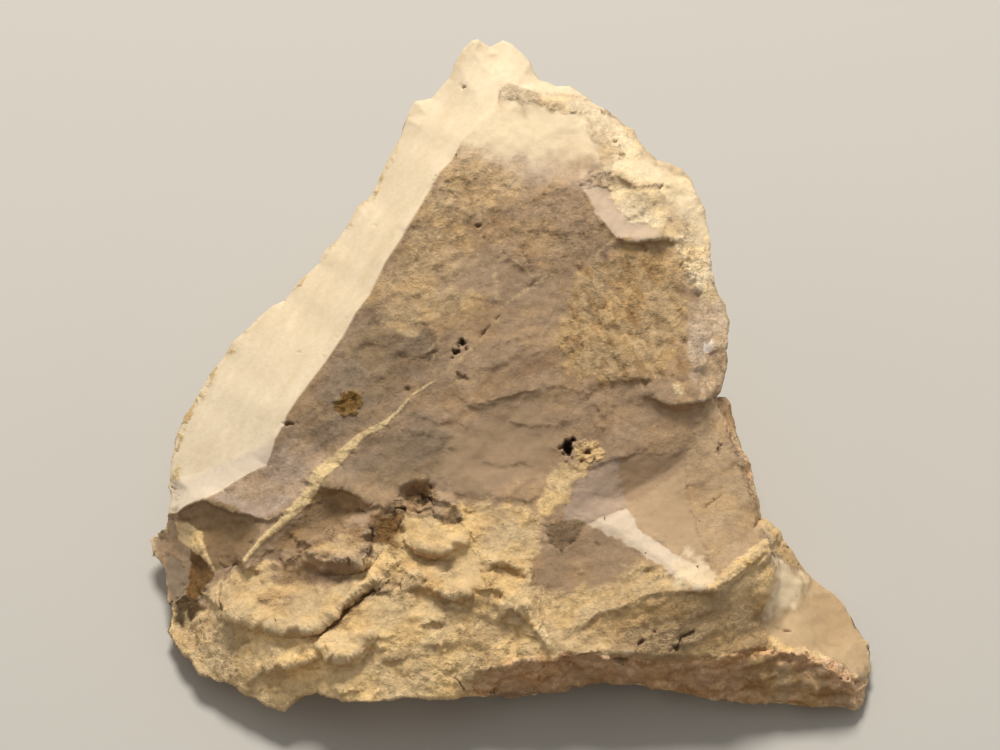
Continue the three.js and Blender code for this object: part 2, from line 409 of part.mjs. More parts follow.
// Where the line of sight through u, v leaves the stone at the back: a broken plane or the flat base.
function backHeight(u, v) {
  const start = place(u, v, 0);
  const run = place(u, v, 1).sub(start);
  const exits = BACK_PLANES.map(({ through, facing }) => {
    const normal = new THREE.Vector3(...facing);
    return -start.clone().sub(new THREE.Vector3(...through)).dot(normal) / run.dot(normal);
  });
  const bump = BACK_BUMP * bumps(u / BACK_BUMP_LENGTH, v / BACK_BUMP_LENGTH, 11.7);
  return Math.max(-start.z / run.z, Math.max(...exits) + bump);
}

// The front: the creases and spot heights first, then a finer skin laid over them with its bumps.
const rim = outlineLoop();
const marks = [...rim];
for (const point of Object.values(CREASES).flatMap((line) => spaced(line, CREASE_STEP))) {
  const nearest = Math.min(...marks.map(([u, v]) => Math.hypot(u - point[0], v - point[1])));
  if (nearest > 0.5) marks.push(point);
}
const ground = [...marks, ...SPOTS];
const groundFacets = patch(rim, ground);
const skin = filling(rim, marks, FRONT_STEP, 0.62).map(([u, v]) => [
  u, v, heightOn(ground, groundFacets, u, v),
]);
const front = [...marks, ...skin].map(([u, v, w]) => [u, v, w + frontBump(u, v)]);
const frontFacets = patch(rim, front);

// The walls: rings that go straight back from the outline first, then draw in and even out.
const reach = rim.map(([u, v]) => Math.hypot(u - STONE_MIDDLE[0], v - STONE_MIDDLE[1]));
const evenReach = reach.map((_, i) => {
  let sum = 0;
  for (let k = -RING_EVENING; k <= RING_EVENING; k++) sum += reach.at((i + k) % reach.length);
  return sum / (2 * RING_EVENING + 1);
});
const rings = [];
for (let ring = 1; ring <= WALL_RINGS; ring++) {
  const share = ring / WALL_RINGS;
  rings.push(
    front.slice(0, rim.length).map(([u, v, w], i) => {
      const depth = Math.max(1, w - backHeight(u, v));
      const wobble = 1 + WALL_WOBBLE * bumps(u / 8, v / 8, 3 * share);
      const bump = WALL_BUMP * Math.min(1, depth / 6) * (1 + bumps(u / 4, v / 4, (w - share * depth) / 4));
      const inset = THREE.MathUtils.clamp(WALL_INSET * depth, 0.4, 6) * wobble * share ** 1.6 + bump * share;
      const even = Math.min(reach[i], THREE.MathUtils.lerp(reach[i], evenReach[i], share));
      const scale = (even - inset) / reach[i];
      const u2 = STONE_MIDDLE[0] + (u - STONE_MIDDLE[0]) * scale;
      const v2 = STONE_MIDDLE[1] + (v - STONE_MIDDLE[1]) * scale;
      const deepest = Math.min(w - 1, backHeight(u2, v2));
      return [u2, v2, THREE.MathUtils.lerp(w, deepest, share)];
    }),
  );
}

// The back: the last ring is closed over the broken planes and the flat base.
const lastRing = rings.at(-1);
const backSkin = filling(lastRing, lastRing, BACK_STEP, 1).map(([u, v]) => {
  const thickness = heightOn(ground, groundFacets, u, v) - LEAST_THICKNESS;
  return [u, v, Math.min(thickness, backHeight(u, v))];
});
const back = [...lastRing, ...backSkin];
const backFacets = patch(lastRing, back);

// All the corners in one list, and the facets of the front, the walls and the back facing out.
const corners = [...front, ...rings.slice(0, -1).flat(), ...back];
const ringStart = (ring) => (ring === 0 ? 0 : front.length + (ring - 1) * rim.length);
const facets = [...frontFacets];
for (let ring = 0; ring < WALL_RINGS; ring++) {
  for (let i = 0; i < rim.length; i++) {
    const next = (i + 1) % rim.length;
    const [near, far] = [ringStart(ring), ringStart(ring + 1)];
    facets.push([near + i, near + next, far + i], [near + next, far + next, far + i]);
  }
}
facets.push(...backFacets.map(([a, b, c]) => [a, c, b].map((i) => i + ringStart(WALL_RINGS))));

const positions = corners.flatMap(([u, v, w]) => {
  const point = place(u, v, w);
  const height = Math.abs(point.z) < 1e-3 ? 0 : point.z;
  return [point.x + CENTRE_X, point.y + CENTRE_Y, height];
});
const stoneShape = new THREE.BufferGeometry();
stoneShape.setAttribute("position", new THREE.Float32BufferAttribute(positions, 3));
stoneShape.setIndex(facets.flat());
stoneShape.computeVertexNormals();

const stoneMaterial = new THREE.MeshStandardMaterial({
  color: STONE_COLOUR,
  roughness: 0.92,
  metalness: 0,
  flatShading: true,
});
const stone = new THREE.Mesh(stoneShape, stoneMaterial);
stone.name = "stone";

const specimen = new THREE.Group();
specimen.name = "richellite";
specimen.add(stone);
export default specimen;
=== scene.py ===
import math

import bmesh
import bpy
import numpy as np
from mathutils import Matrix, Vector, noise


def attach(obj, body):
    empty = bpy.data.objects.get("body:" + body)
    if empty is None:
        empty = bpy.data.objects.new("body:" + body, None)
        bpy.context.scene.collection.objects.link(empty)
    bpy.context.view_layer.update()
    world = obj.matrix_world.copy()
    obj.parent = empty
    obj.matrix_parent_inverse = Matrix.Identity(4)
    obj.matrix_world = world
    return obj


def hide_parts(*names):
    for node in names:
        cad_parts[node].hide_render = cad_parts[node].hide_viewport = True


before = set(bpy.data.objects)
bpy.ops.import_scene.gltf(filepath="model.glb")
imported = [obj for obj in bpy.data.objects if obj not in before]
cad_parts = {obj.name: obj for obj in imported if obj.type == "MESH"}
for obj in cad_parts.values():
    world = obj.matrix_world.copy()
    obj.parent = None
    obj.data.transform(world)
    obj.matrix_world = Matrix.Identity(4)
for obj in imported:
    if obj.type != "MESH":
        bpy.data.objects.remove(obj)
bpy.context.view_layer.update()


# Camera. The stone's broken front is a sheet that leans back at 40 degrees: u runs right along it,
# v up it and w out of it, in mm. The eye looks square on to it from 278 mm above its middle.
SHEET_MIDDLE = (50.0, 37.5)
SHEET_LEAN = math.radians(40)
SHEET_FOOT = 3.0
SHEET_SHIFT = (-0.8, -29.7)
EYE_DISTANCE = 278.0
sheet_rise = SHEET_MIDDLE[1] - SHEET_FOOT
sheet_out = Vector((0, -math.sin(SHEET_LEAN), math.cos(SHEET_LEAN)))
sheet_up = Vector((0, math.cos(SHEET_LEAN), math.sin(SHEET_LEAN)))
sheet_centre = Vector((*SHEET_SHIFT, 0)) + sheet_up * sheet_rise
eye = sheet_centre + sheet_out * EYE_DISTANCE

bpy.ops.object.camera_add(location=eye / 1000)
camera = bpy.context.object
camera.name = "specimen_camera"
camera.data.lens = 100
camera.data.sensor_width = 36
camera.data.clip_start = 0.01
camera.rotation_mode = "QUATERNION"
camera.rotation_quaternion = (-sheet_out).to_track_quat("-Z", "Y")
bpy.context.scene.camera = camera


# Richellite lump. One piece of compact, earthy iron phosphate, broken by hand along its cracks: the
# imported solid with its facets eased, then flaked, cracked, veined and pitted as broken stone is.
CREST_ANGLE = math.radians(15)
SMOOTHING_ANGLE = math.radians(50)
EASING_PASSES = 9
SPLITTING_PASSES = 3
SPREADING_PASSES = 2
NOISE_SEED = 7
# Longest mesh edges in mm on the foot, along lines and elsewhere.
FOOT_EDGE = 0.385
LINE_EDGE = 0.2
PLAIN_EDGE = 3.0
# How squarely a place faces the eye, from -1 to 1, where each part of the surface fades in, and where
# the mesh is split twice.
FRONT_FACING = (-0.05, 0.12)
OPEN_FACING = (0.1, 0.35)
REAR_FACING = (-0.08, -0.4)
SPLIT_FACING = -0.25
# Sizes in mm: the most the surface moves, flake lips and tips, the raised vein, the rough back, the
# heights over which rust ends and relief starts, and the v over which the bevel brightens.
MAX_SHIFT = 1.6
LIP_WIDTH = 0.28
TIP_FADE = 0.8
VEIN_HEIGHT = 0.05
VEIN_REACH = 1.2
BACK_HEIGHT = 0.3
BACK_BUMPS_PER_MM = 0.32
RUST_FADE = (0.2, 0.9)
LIFT_FADE = (0.05, 1.2)
BEVEL_BRIGHTENS = (42, 34)
# Crumbs that are pushed about: their size and how far they go, in mm.
JOSTLES = [(2.4, 0.5), (0.9, 0.18)]

# Cracks: width, depth and line.
CRACKS = [
    (0.22, 0.5, [(24, 18.7), (23.3, 18.4), (22.8, 17.6), (22.4, 16.8), (22.2, 16), (22.1, 15),
        (22.2, 13.9)]),
    (0.3, 0.6, [(39, 23.9), (39.8, 24.1), (40.4, 24), (40.9, 23.9), (41.4, 24.2), (41.9, 23.8), (42.6, 24),
        (43.4, 23.8)]),
    (0.3, 0.5, [(43.4, 24.4), (43.1, 25), (43.2, 25.8), (43, 26.4)]),
    (0.2, 0.4, [(40.4, 23.8), (40.2, 23.2), (39.9, 22.6), (39.6, 22)]),
    (0.25, 0.4, [(45.2, 23.4), (45.4, 22.8), (45.5, 22.1)]),
    (0.3, 0.4, [(37.2, 22.2), (37.3, 20.5), (37, 19.4)]),
    (0.2, 0.45, [(40.2, 17.6), (39.6, 17.9), (39.2, 17.5), (38.6, 16.7), (38, 16), (37.4, 15.2)]),
    (0.9, 0.3, [(37.2, 15.6), (36.2, 15), (35.2, 14.1), (34.2, 13.2), (33.2, 12.3)]),
    (0.2, 0.35, [(39.6, 19), (39.9, 18.2), (40.2, 17.6), (40.3, 16.9), (40.2, 16)]),
    (0.16, 0.3, [(44.2, 10.5), (44.5, 9.5), (44.9, 8.6), (45.3, 7.7), (45.8, 6.8), (46.3, 6)]),
    (0.22, 0.25, [(47.6, 40.8), (48.7, 42.1), (50, 43.5)]),
    (0.2, 0.2, [(52.3, 49.7), (52.7, 49), (53.2, 48.3)]),
    (0.14, 0.2, [(72.3, 25.6), (71.6, 25), (70.9, 24.6), (70.3, 23.9), (69.9, 23.1)]),
    (0.32, 0.4, [(63.6, 9.8), (64, 10.6), (64.6, 11.2), (65.5, 11.8)]),
    (0.32, 0.4, [(67.8, 10.3), (68.1, 11.2), (68.7, 11.5), (69.3, 11.8)]),
    (0.3, 0.35, [(77.4, 12.3), (78.2, 12), (79.1, 11.9)]),
    (0.12, 0.08, [(68.6, 28.4), (68.4, 26.5), (68.8, 24.5), (69.8, 21.5), (70.6, 19.8), (71.2, 17)]),
    (0.16, 0.2, [(52.6, 19), (53.1, 17.8), (53.4, 16.2), (53.8, 14.5), (54.2, 13.3), (54.3, 12.5)]),
    (0.16, 0.3, [(30.3, 19.9), (29.6, 19.3), (28.8, 18.9), (28, 19)]),
    (0.2, 0.3, [(49.8, 7.9), (50.3, 8.1), (50.8, 7.8)]),
    (0.2, 0.3, [(53.8, 8.2), (54.1, 8), (54.5, 8.3)]),
    (0.2, 0.25, [(17.1, 26.3), (17.7, 25.8), (17.9, 25.3)]),
    (0.16, 0.15, [(28.5, 32.2), (29.1, 32.6), (29.7, 32.7)]),
    (0.16, 0.15, [(30.1, 28.4), (30.8, 27.9), (31.5, 27.4)]),
    (0.16, 0.15, [(28.3, 25.6), (28.8, 25.3), (29.3, 25)]),
]
# Flake edges: height the stone stands out on the left of the line, how far back that fades, and line.
FLAKES = [
    (0.3, 2.5, [(57.5, 11.8), (58.3, 12.3), (59.2, 13), (60, 13.6), (61.7, 14), (63.4, 14.9), (65.1, 15.5),
        (67.3, 15.9), (69.4, 15.9), (71.4, 15.8), (72.9, 17), (74.8, 18.5), (76.6, 20.1)]),
    (0.16, 2, [(42, 43.2), (42.8, 42.5), (43.3, 41.5), (43, 40.4)]),
    (0.08, 2, [(50, 40.5), (51.5, 41.2), (53.5, 41.4), (55.2, 42)]),
    (0.07, 2, [(52, 38.8), (53.5, 39.8), (55.2, 40), (56.6, 40.4)]),
    (0.06, 2, [(40, 45), (42, 45.4), (44, 45), (46.2, 45.6), (48.6, 45)]),
    (0.12, 2, [(35, 40), (36.5, 40.8), (38.4, 40.5), (39.8, 41)]),
    (0.12, 2, [(44, 56.8), (45.6, 57.4), (47, 57), (48.6, 57.8)]),
    (0.12, 2, [(40, 51.8), (41.6, 52.6), (43, 52.2)]),
    (0.14, 2, [(54.5, 56.8), (56, 56), (57.5, 56.4)]),
    (0.1, 2, [(33, 31), (34.2, 31.8), (35.6, 31.6)]),
    (0.1, 2, [(48, 29), (50, 28.4), (52, 28.8), (53.6, 28.2)]),
    (0.16, 2, [(50, 24.7), (51.5, 25.2), (53, 25), (54.5, 25.8)]),
    (0.08, 1.8, [(44.8, 36.4), (45.8, 35.6), (46.8, 34.8), (47.8, 34.7), (49, 35), (50.5, 35.4),
        (52.5, 35.9), (54.5, 36.3), (56.2, 36.4), (57.5, 36.1), (59, 35.7)]),
    (0.16, 1.8, [(64, 35.2), (65.5, 35.3), (66.7, 34.6), (69.1, 34.8), (71.4, 35.3)]),
    (0.35, 2.5, [(31.8, 26.5), (33, 26.3), (34.5, 26.1), (35.7, 25.6), (36.5, 24.8), (37.2, 24.2),
        (38, 24.5), (39, 24)]),
    (0.3, 1.5, [(17.6, 23.7), (18.4, 24.2), (19.6, 24.8), (20.5, 25.1), (21.3, 24.8), (22, 24.4),
        (23.2, 23.9), (24.5, 23.6), (25.8, 23.1), (26.8, 22.9), (27.6, 23.1), (28.5, 23.7), (29.2, 24.2)]),
    (0.12, 1.8, [(50.5, 33), (53, 32.4), (55.6, 32.6)]),
    (0.16, 1.8, [(56, 29.5), (58, 28), (60.5, 28.8), (64, 29.8)]),
    (0.12, 1.8, [(58.8, 35), (60.2, 34), (59.6, 32.6), (60.6, 31.8)]),
    (0.08, 1.8, [(46.6, 53), (47.6, 53.7), (49.2, 54.1), (51.3, 54)]),
    (0.08, 1.8, [(59.2, 36.3), (60.7, 36.9), (62.5, 37), (64.4, 37.1), (65.2, 37.4)]),
    (0.12, 1.8, [(40.8, 34), (42.5, 33.3), (44, 32.7), (45.6, 33.1), (47.1, 31.9)]),
    (0.08, 1.5, [(39.5, 32.3), (42, 31.7), (44.2, 31.3), (46, 31.5)]),
    (0.06, 1.5, [(44.5, 30.3), (45.5, 30.1), (46.7, 30.1)]),
    (0.3, 1.2, [(63.9, 17.8), (65, 18.2), (65.3, 17.6)]),
    (0.22, 2.2, [(59.8, 58), (60.6, 57.7), (61.4, 57.9), (62.2, 57.1), (63.2, 56.4), (64.5, 56.3),
        (65.6, 56.6), (66.4, 56.4), (67.6, 56)]),
    (0.25, 2, [(59, 63.3), (59.7, 62.4), (60, 61.4), (60.6, 60.4), (60.9, 59.2), (61.1, 58)]),
    (0.3, 1.5, [(58.1, 56.4), (58.8, 55), (59.6, 53.6), (60.5, 52.4), (61.7, 51.2), (63.2, 50.8),
        (64.5, 51), (66.2, 51.2), (66.8, 50.6)]),
    (0.2, 1.5, [(66.4, 54.5), (66.8, 53.4), (67.5, 52.4), (67.8, 51.4)]),
    (0.25, 1.5, [(67.2, 50.4), (68, 49.4), (68.6, 48.2), (69.2, 46.8), (69.9, 45.4)]),
    (0.14, 1.8, [(49.7, 48.9), (51, 49.2), (52.1, 48.4), (53.1, 47.6)]),
    (0.6, 5, [(22.2, 13.9), (22.8, 13.3), (23.6, 13), (24.6, 12.9), (25.4, 12.6), (26, 12.3), (26.8, 12),
        (27.5, 11.9), (28.5, 12), (29.5, 12.1), (30.5, 12), (31.2, 12.1), (31.9, 12.1), (32.5, 12.8),
        (33.5, 13.5), (34.2, 14.4), (35, 15.1), (35.8, 15.8), (36.6, 16.4), (37.4, 16.8), (38.2, 17.3)]),
    (0.5, 3.5, [(39.6, 16.6), (38.8, 16.2), (38, 15.8), (37, 15.2), (36.2, 14.6), (35.5, 14), (34.8, 13.2),
        (33.8, 12.2), (33, 11.6), (32.1, 11), (31.8, 10.4), (32.2, 9.8), (32.6, 9.3), (33.2, 9), (34, 8.9),
        (34.8, 9.1), (35.4, 9.5), (36, 10), (36.4, 10.5), (37.4, 10.3)]),
    (0.45, 4, [(26.5, 7.7), (27.2, 8.2), (28, 8.5), (28.6, 8.3), (29.4, 8.4), (30.2, 8.6), (30.8, 9),
        (31.6, 9.2), (32.4, 9.2)]),
    (0.7, 3, [(30.4, 20.1), (31, 19.4), (31.8, 18.9), (32.8, 18.6), (34, 18.5), (35.2, 18.5), (36.2, 18.6),
        (36.7, 19.1), (36.9, 20), (37.1, 21)]),
    (0.2, 1.2, [(23.8, 18.6), (24.7, 18.3), (25.5, 17.9), (26.4, 17.8), (27.2, 18)]),
    (0.3, 1.5, [(27.9, 18.9), (28.6, 18.8), (29.4, 19.1), (30.1, 19.7)]),
    (0.15, 1.5, [(25.6, 15), (26.6, 14.8), (27.6, 15.3), (28.8, 15.3), (30.1, 14.9)]),
    (0.2, 2, [(25.5, 6), (26.2, 6.2), (27, 6), (28, 6), (29, 6.3)]),
    (0.25, 1.5, [(33.8, 5.2), (34.5, 5.7), (35.2, 6.1), (35.8, 6.5)]),
    (0.55, 3, [(40.2, 21.8), (40.7, 20.8), (41.3, 20.1), (42, 19.7), (42.8, 19.3), (43.6, 19.4),
        (44.2, 19.8), (44.8, 20), (45.7, 20.2)]),
    (0.3, 1.5, [(44, 17.8), (44.4, 18.6), (44.9, 19.3), (45.6, 19.9)]),
    (0.15, 1.5, [(40.3, 17.6), (41.2, 17.2), (42.2, 17)]),
    (0.45, 2.2, [(42, 16.7), (42.7, 16.3), (43.4, 16), (44.1, 15.9), (44.8, 15.5), (45.5, 15.2),
        (46.2, 15.1)]),
    (0.4, 1.2, [(43.3, 24.7), (44, 24.8), (44.7, 24.7), (45.3, 24.3), (46, 24)]),
    (0.3, 1, [(45.2, 23.2), (45.8, 23), (46.4, 22.9), (46.8, 23.3)]),
    (0.25, 1.5, [(46.2, 22.4), (46.7, 21.8), (47.4, 21.2), (48.4, 21.8)]),
    (0.3, 1.5, [(49.5, 18.2), (50.4, 18.4), (51.4, 18.4), (52.2, 17.8)]),
    (0.3, 2, [(48.2, 18.6), (48.4, 17.5), (48.5, 16.6), (49.2, 17), (49.8, 18)]),
    (0.45, 2.5, [(47.4, 15.6), (48, 16), (48.7, 16.2), (49.4, 16.1), (50.1, 15.7), (50.7, 15.1),
        (51.2, 14.4)]),
    (0.4, 2, [(51.2, 13.8), (51.8, 14.3), (52.4, 14.2), (52.9, 13.6), (53.3, 12.8), (53.8, 12),
        (54.3, 11.2), (54.8, 10.4), (55.3, 9.5)]),
    (0.35, 1.5, [(41.7, 12.6), (42.5, 12.4), (43.2, 12.8), (44, 12.5), (44.9, 12.8)]),
    (0.35, 1.5, [(38.6, 8.5), (39.3, 8.8), (40, 9), (40.9, 9.1)]),
    (0.2, 1.5, [(40.8, 7.7), (41.6, 8), (42.4, 8.2)]),
    (0.4, 2, [(47.9, 7.5), (48.7, 8), (49.7, 8.2), (50.2, 8.5), (51.2, 8.6), (52.2, 8.5), (53.4, 8.2),
        (54.6, 8.3)]),
    (0.3, 2, [(60, 9.5), (61.2, 9), (62.4, 9.2), (64, 9), (65.5, 8.6)]),
    (0.2, 1.5, [(57.5, 17.9), (58.2, 17.7), (58.8, 18)]),
    (0.2, 1.5, [(36, 11), (37.2, 11.4), (38.4, 11.2), (39.8, 11.6)]),
    (0.2, 1.5, [(43, 10), (43.8, 10.4), (44.8, 10.2)]),
]
# Pits: middle u and v, half width along each, and depth.
PITS = [
    (46.3, 40.7, 0.4, 0.4, 0.6), (45.6, 39.8, 0.5, 0.25, 0.5), (46.6, 40, 0.2, 0.2, 0.3),
    (45.8, 40.4, 0.2, 0.2, 0.3), (45.2, 39.3, 0.3, 0.1, 0.2), (46.1, 37.3, 0.6, 0.3, 0.25),
    (45.8, 37.6, 0.2, 0.15, 0.15), (46.6, 37, 0.2, 0.15, 0.12), (43.4, 39.8, 0.4, 0.2, 0.15),
    (40.8, 36.1, 0.4, 0.2, 0.2), (43, 39, 0.15, 0.3, 0.1), (28.8, 32.6, 0.5, 0.22, 0.3),
    (56.8, 30.3, 0.55, 0.9, 1.3), (57.3, 31, 0.4, 0.3, 0.6), (56.3, 29.5, 0.3, 0.3, 0.4),
    (58.8, 29.8, 0.3, 0.3, 0.4), (59.4, 29, 0.3, 0.25, 0.35), (58.2, 28.9, 0.3, 0.2, 0.35),
    (33.6, 41.3, 0.25, 0.15, 0.06), (29.8, 39.8, 0.25, 0.15, 0.06), (37.4, 52.4, 0.3, 0.2, 0.05),
    (34.5, 43.3, 0.4, 0.15, 0.05), (69, 48.8, 0.3, 0.4, 0.18), (69.5, 46.8, 0.25, 0.4, 0.15),
    (70, 45.4, 0.2, 0.3, 0.12), (68.4, 50, 0.25, 0.2, 0.12), (47.8, 52.4, 0.4, 0.25, 0.3),
    (34.8, 34.6, 1.3, 1.1, 0.18), (53.3, 46.5, 0.4, 0.3, 0.15), (46.3, 66.4, 0.25, 0.25, 0.25),
    (60.3, 63.7, 0.3, 0.2, 0.3), (61.5, 60.8, 0.4, 0.3, 0.3), (62.2, 59.3, 0.4, 0.3, 0.25),
    (68.6, 48.2, 0.3, 0.2, 0.12), (66, 56.3, 0.4, 0.15, 0.2), (73.2, 31.4, 0.25, 0.4, 0.3),
    (73.7, 29.8, 0.25, 0.3, 0.3), (72.6, 33.5, 0.3, 0.2, 0.3), (71.9, 30, 0.2, 0.5, 0.2),
    (62, 8.9, 0.7, 0.4, 0.4), (67.5, 10.2, 0.4, 0.4, 0.35), (42.4, 25, 0.8, 0.5, 0.4),
    (59.7, 20.4, 0.3, 0.3, 0.12), (59, 57.8, 0.3, 0.2, 0.12), (58.3, 51.6, 0.3, 0.2, 0.12),
    (50.6, 56.4, 0.3, 0.2, 0.1), (49.3, 55.7, 0.4, 0.25, 0.12), (54.3, 55.2, 0.3, 0.3, 0.1),
    (48.4, 51.2, 0.3, 0.2, 0.12),
]
# The cream vein, with its width, and the pale threads that run on from it.
VEIN = [
    (43.6, 37, 0.12), (41.2, 35.5, 0.2), (40, 34, 0.26), (38, 32.3, 0.6), (36, 31.3, 0.7),
    (34.5, 29.8, 1.1), (33.5, 28.8, 1.3), (32, 27.5, 1.4), (31.2, 26, 1.15), (30, 24.5, 1.05),
    (28.5, 23, 0.9), (27, 21.7, 0.7), (25.8, 20.5, 0.55), (24.5, 19, 0.3),
]
THREADS = [
    (0.1, [(49.6, 45.1), (49.4, 46.5), (49.3, 47.8), (49.7, 48.9), (50.4, 49.3), (51.2, 49.1), (52.1, 48.4),
        (53.2, 47.4)]),
    (0.1, [(42.8, 39.8), (43.4, 40.6), (44, 41.2)]),
    (0.1, [(42.7, 37.4), (43, 38.4), (43.4, 39.4)]),
    (0.14, [(43.6, 37), (45.2, 38.4), (47.6, 40.5)]),
    (0.12, [(50, 44.2), (51.8, 45.5), (53.4, 46.5), (54.6, 47.4), (56.5, 48.1), (58.9, 49.2), (61.5, 51.1)]),
    (0.12, [(35.6, 43.8), (36.4, 43.4)]),
    (0.12, [(38.7, 42.8), (39.8, 42), (41.6, 41.3)]),
    (0.1, [(49.5, 48.4), (49.6, 47), (49.7, 45.2)]),
]
# The planed bevel along the left of the front, its greyer foot and its worn outer edge.
BEVEL = [
    (50, 66), (49.7, 64.6), (48, 63), (46.2, 61), (45.2, 59), (44, 57.8), (42.2, 54.7), (41.2, 53),
    (40, 51), (38.5, 48.8), (37, 45.6), (35.6, 43.8), (34.3, 41.4), (32.5, 38.8), (31.1, 37), (29.8, 35.3),
    (28.6, 33.5), (28.3, 32.5), (27.5, 31.2), (27, 29.5), (26.6, 28.5), (25, 27.8), (23.5, 26.9),
    (22.2, 26), (21, 25.3), (19.8, 25), (19, 24.6), (18, 23.9), (15, 23), (10, 25), (10, 55), (38, 73),
    (56, 73), (60, 65), (56, 65.8), (54, 65.8), (50.8, 66.6),
]
BEVEL_FOOT = [
    (17.2, 26.8), (19.6, 27.4), (21.8, 28.6), (24.4, 29.5), (27.2, 30.6), (26.8, 28.4), (25, 27.7),
    (23.5, 26.8), (21, 25.2), (19, 24.5), (17.8, 23.8),
]
BEVEL_EDGE = [
    (45.5, 69.8), (44.8, 67.5), (42, 64.6), (40.2, 63.4), (39.8, 60), (37.8, 56), (35, 52.4), (32.6, 49.6),
    (30.2, 46.6), (26.2, 44.2), (22.2, 38.6), (20, 35), (18.6, 31), (18, 27), (16, 27), (15, 31), (16, 37),
    (20, 45), (28, 51), (33, 56), (38, 65), (44, 70.5),
]
BEVEL_CREST = BEVEL[3:23]
# The rough yellow foot of the front, and the streaked ochre cheek on its right.
FOOT = [
    (14, 20), (23, 20), (30, 24), (38, 25), (45, 26), (54, 27), (57, 22), (54, 14), (58, 10), (90, 9),
    (90, 0), (14, 0),
]
CHEEK = [(57, 49), (66, 51), (69.4, 44), (69, 37), (60, 36.4), (55.6, 40)]
# Broken chips: where, least height and height added where crumbly, length, width, turn, seed, lean.
CHIPS = [
    ("foot", 0.036, 0.36, 4.6, 3.2, 8, 13, 0.3),
    ("foot", 0.054, 0.18, 1.5, 1.1, -10, 17, 0.5),
    ("cheek", 0.24, 0, 3.2, 1.4, -60, 27, 0.4),
    ("plain", 0.06, 0.3, 5.6, 3.4, 26, 29, 0.4),
    ("plain", 0.016, 0.16, 2.2, 1.2, 30, 33, 0.5),
    ("rear", 0.9, 0, 7.0, 5.5, 20, 43, 0.2),
    ("rear", 0.4, 0, 2.6, 2.0, 20, 47, 0.3),
]
# Waves: where, least height and height added where crumbly, width, length, turn, seed, octaves.
WAVES = [
    ("wall", 0.45, 0, 1.0, 2.0, 6, 105, 5),
    ("off the bevel", 0.04, 0.14, 1.0, 1.3, 10, 3, 4),
    ("all", 0, 0.2, 2.6, 3.6, 10, 7, 2),
    ("plain", 0.05, 0, 1.3, 3.0, 30, 31, 3),
    ("plain", 0.22, 0, 5.0, 9.0, 20, 37, 1),
]
# Ledges: where, least height and height added where crumbly, spacing, turn, seed.
LEDGES = [
    ("fading foot", 0.03, 0.15, 3.4, 8, 11),
    ("cheek", 0.1, 0, 1.7, -56, 23),
]
# Tones of the stone.
TONES = {
    "bright cream": "#f6e2c0",
    "straw": "#f4d7a6",
    "pale straw": "#e5c99b",
    "sand": "#d9bf96",
    "chalk": "#e0ceb8",
    "ivory": "#ecd8b8",
    "pale beige": "#dac6a8",
    "pink beige": "#d3bda6",
    "dun": "#ccb18c",
    "ochre": "#c5aa84",
    "peach": "#e8c6a2",
    "light brown": "#bfa585",
    "lilac grey": "#baa593",
    "fawn": "#b0967a",
    "olive brown": "#9c8263",
    "umber": "#9b8873",
    "dark umber": "#8a765e",
    "rusty brown": "#7f613b",
    "bark": "#5c4930",
    "rusty ochre": "#93733f",
    "white": "#f6eade",
}
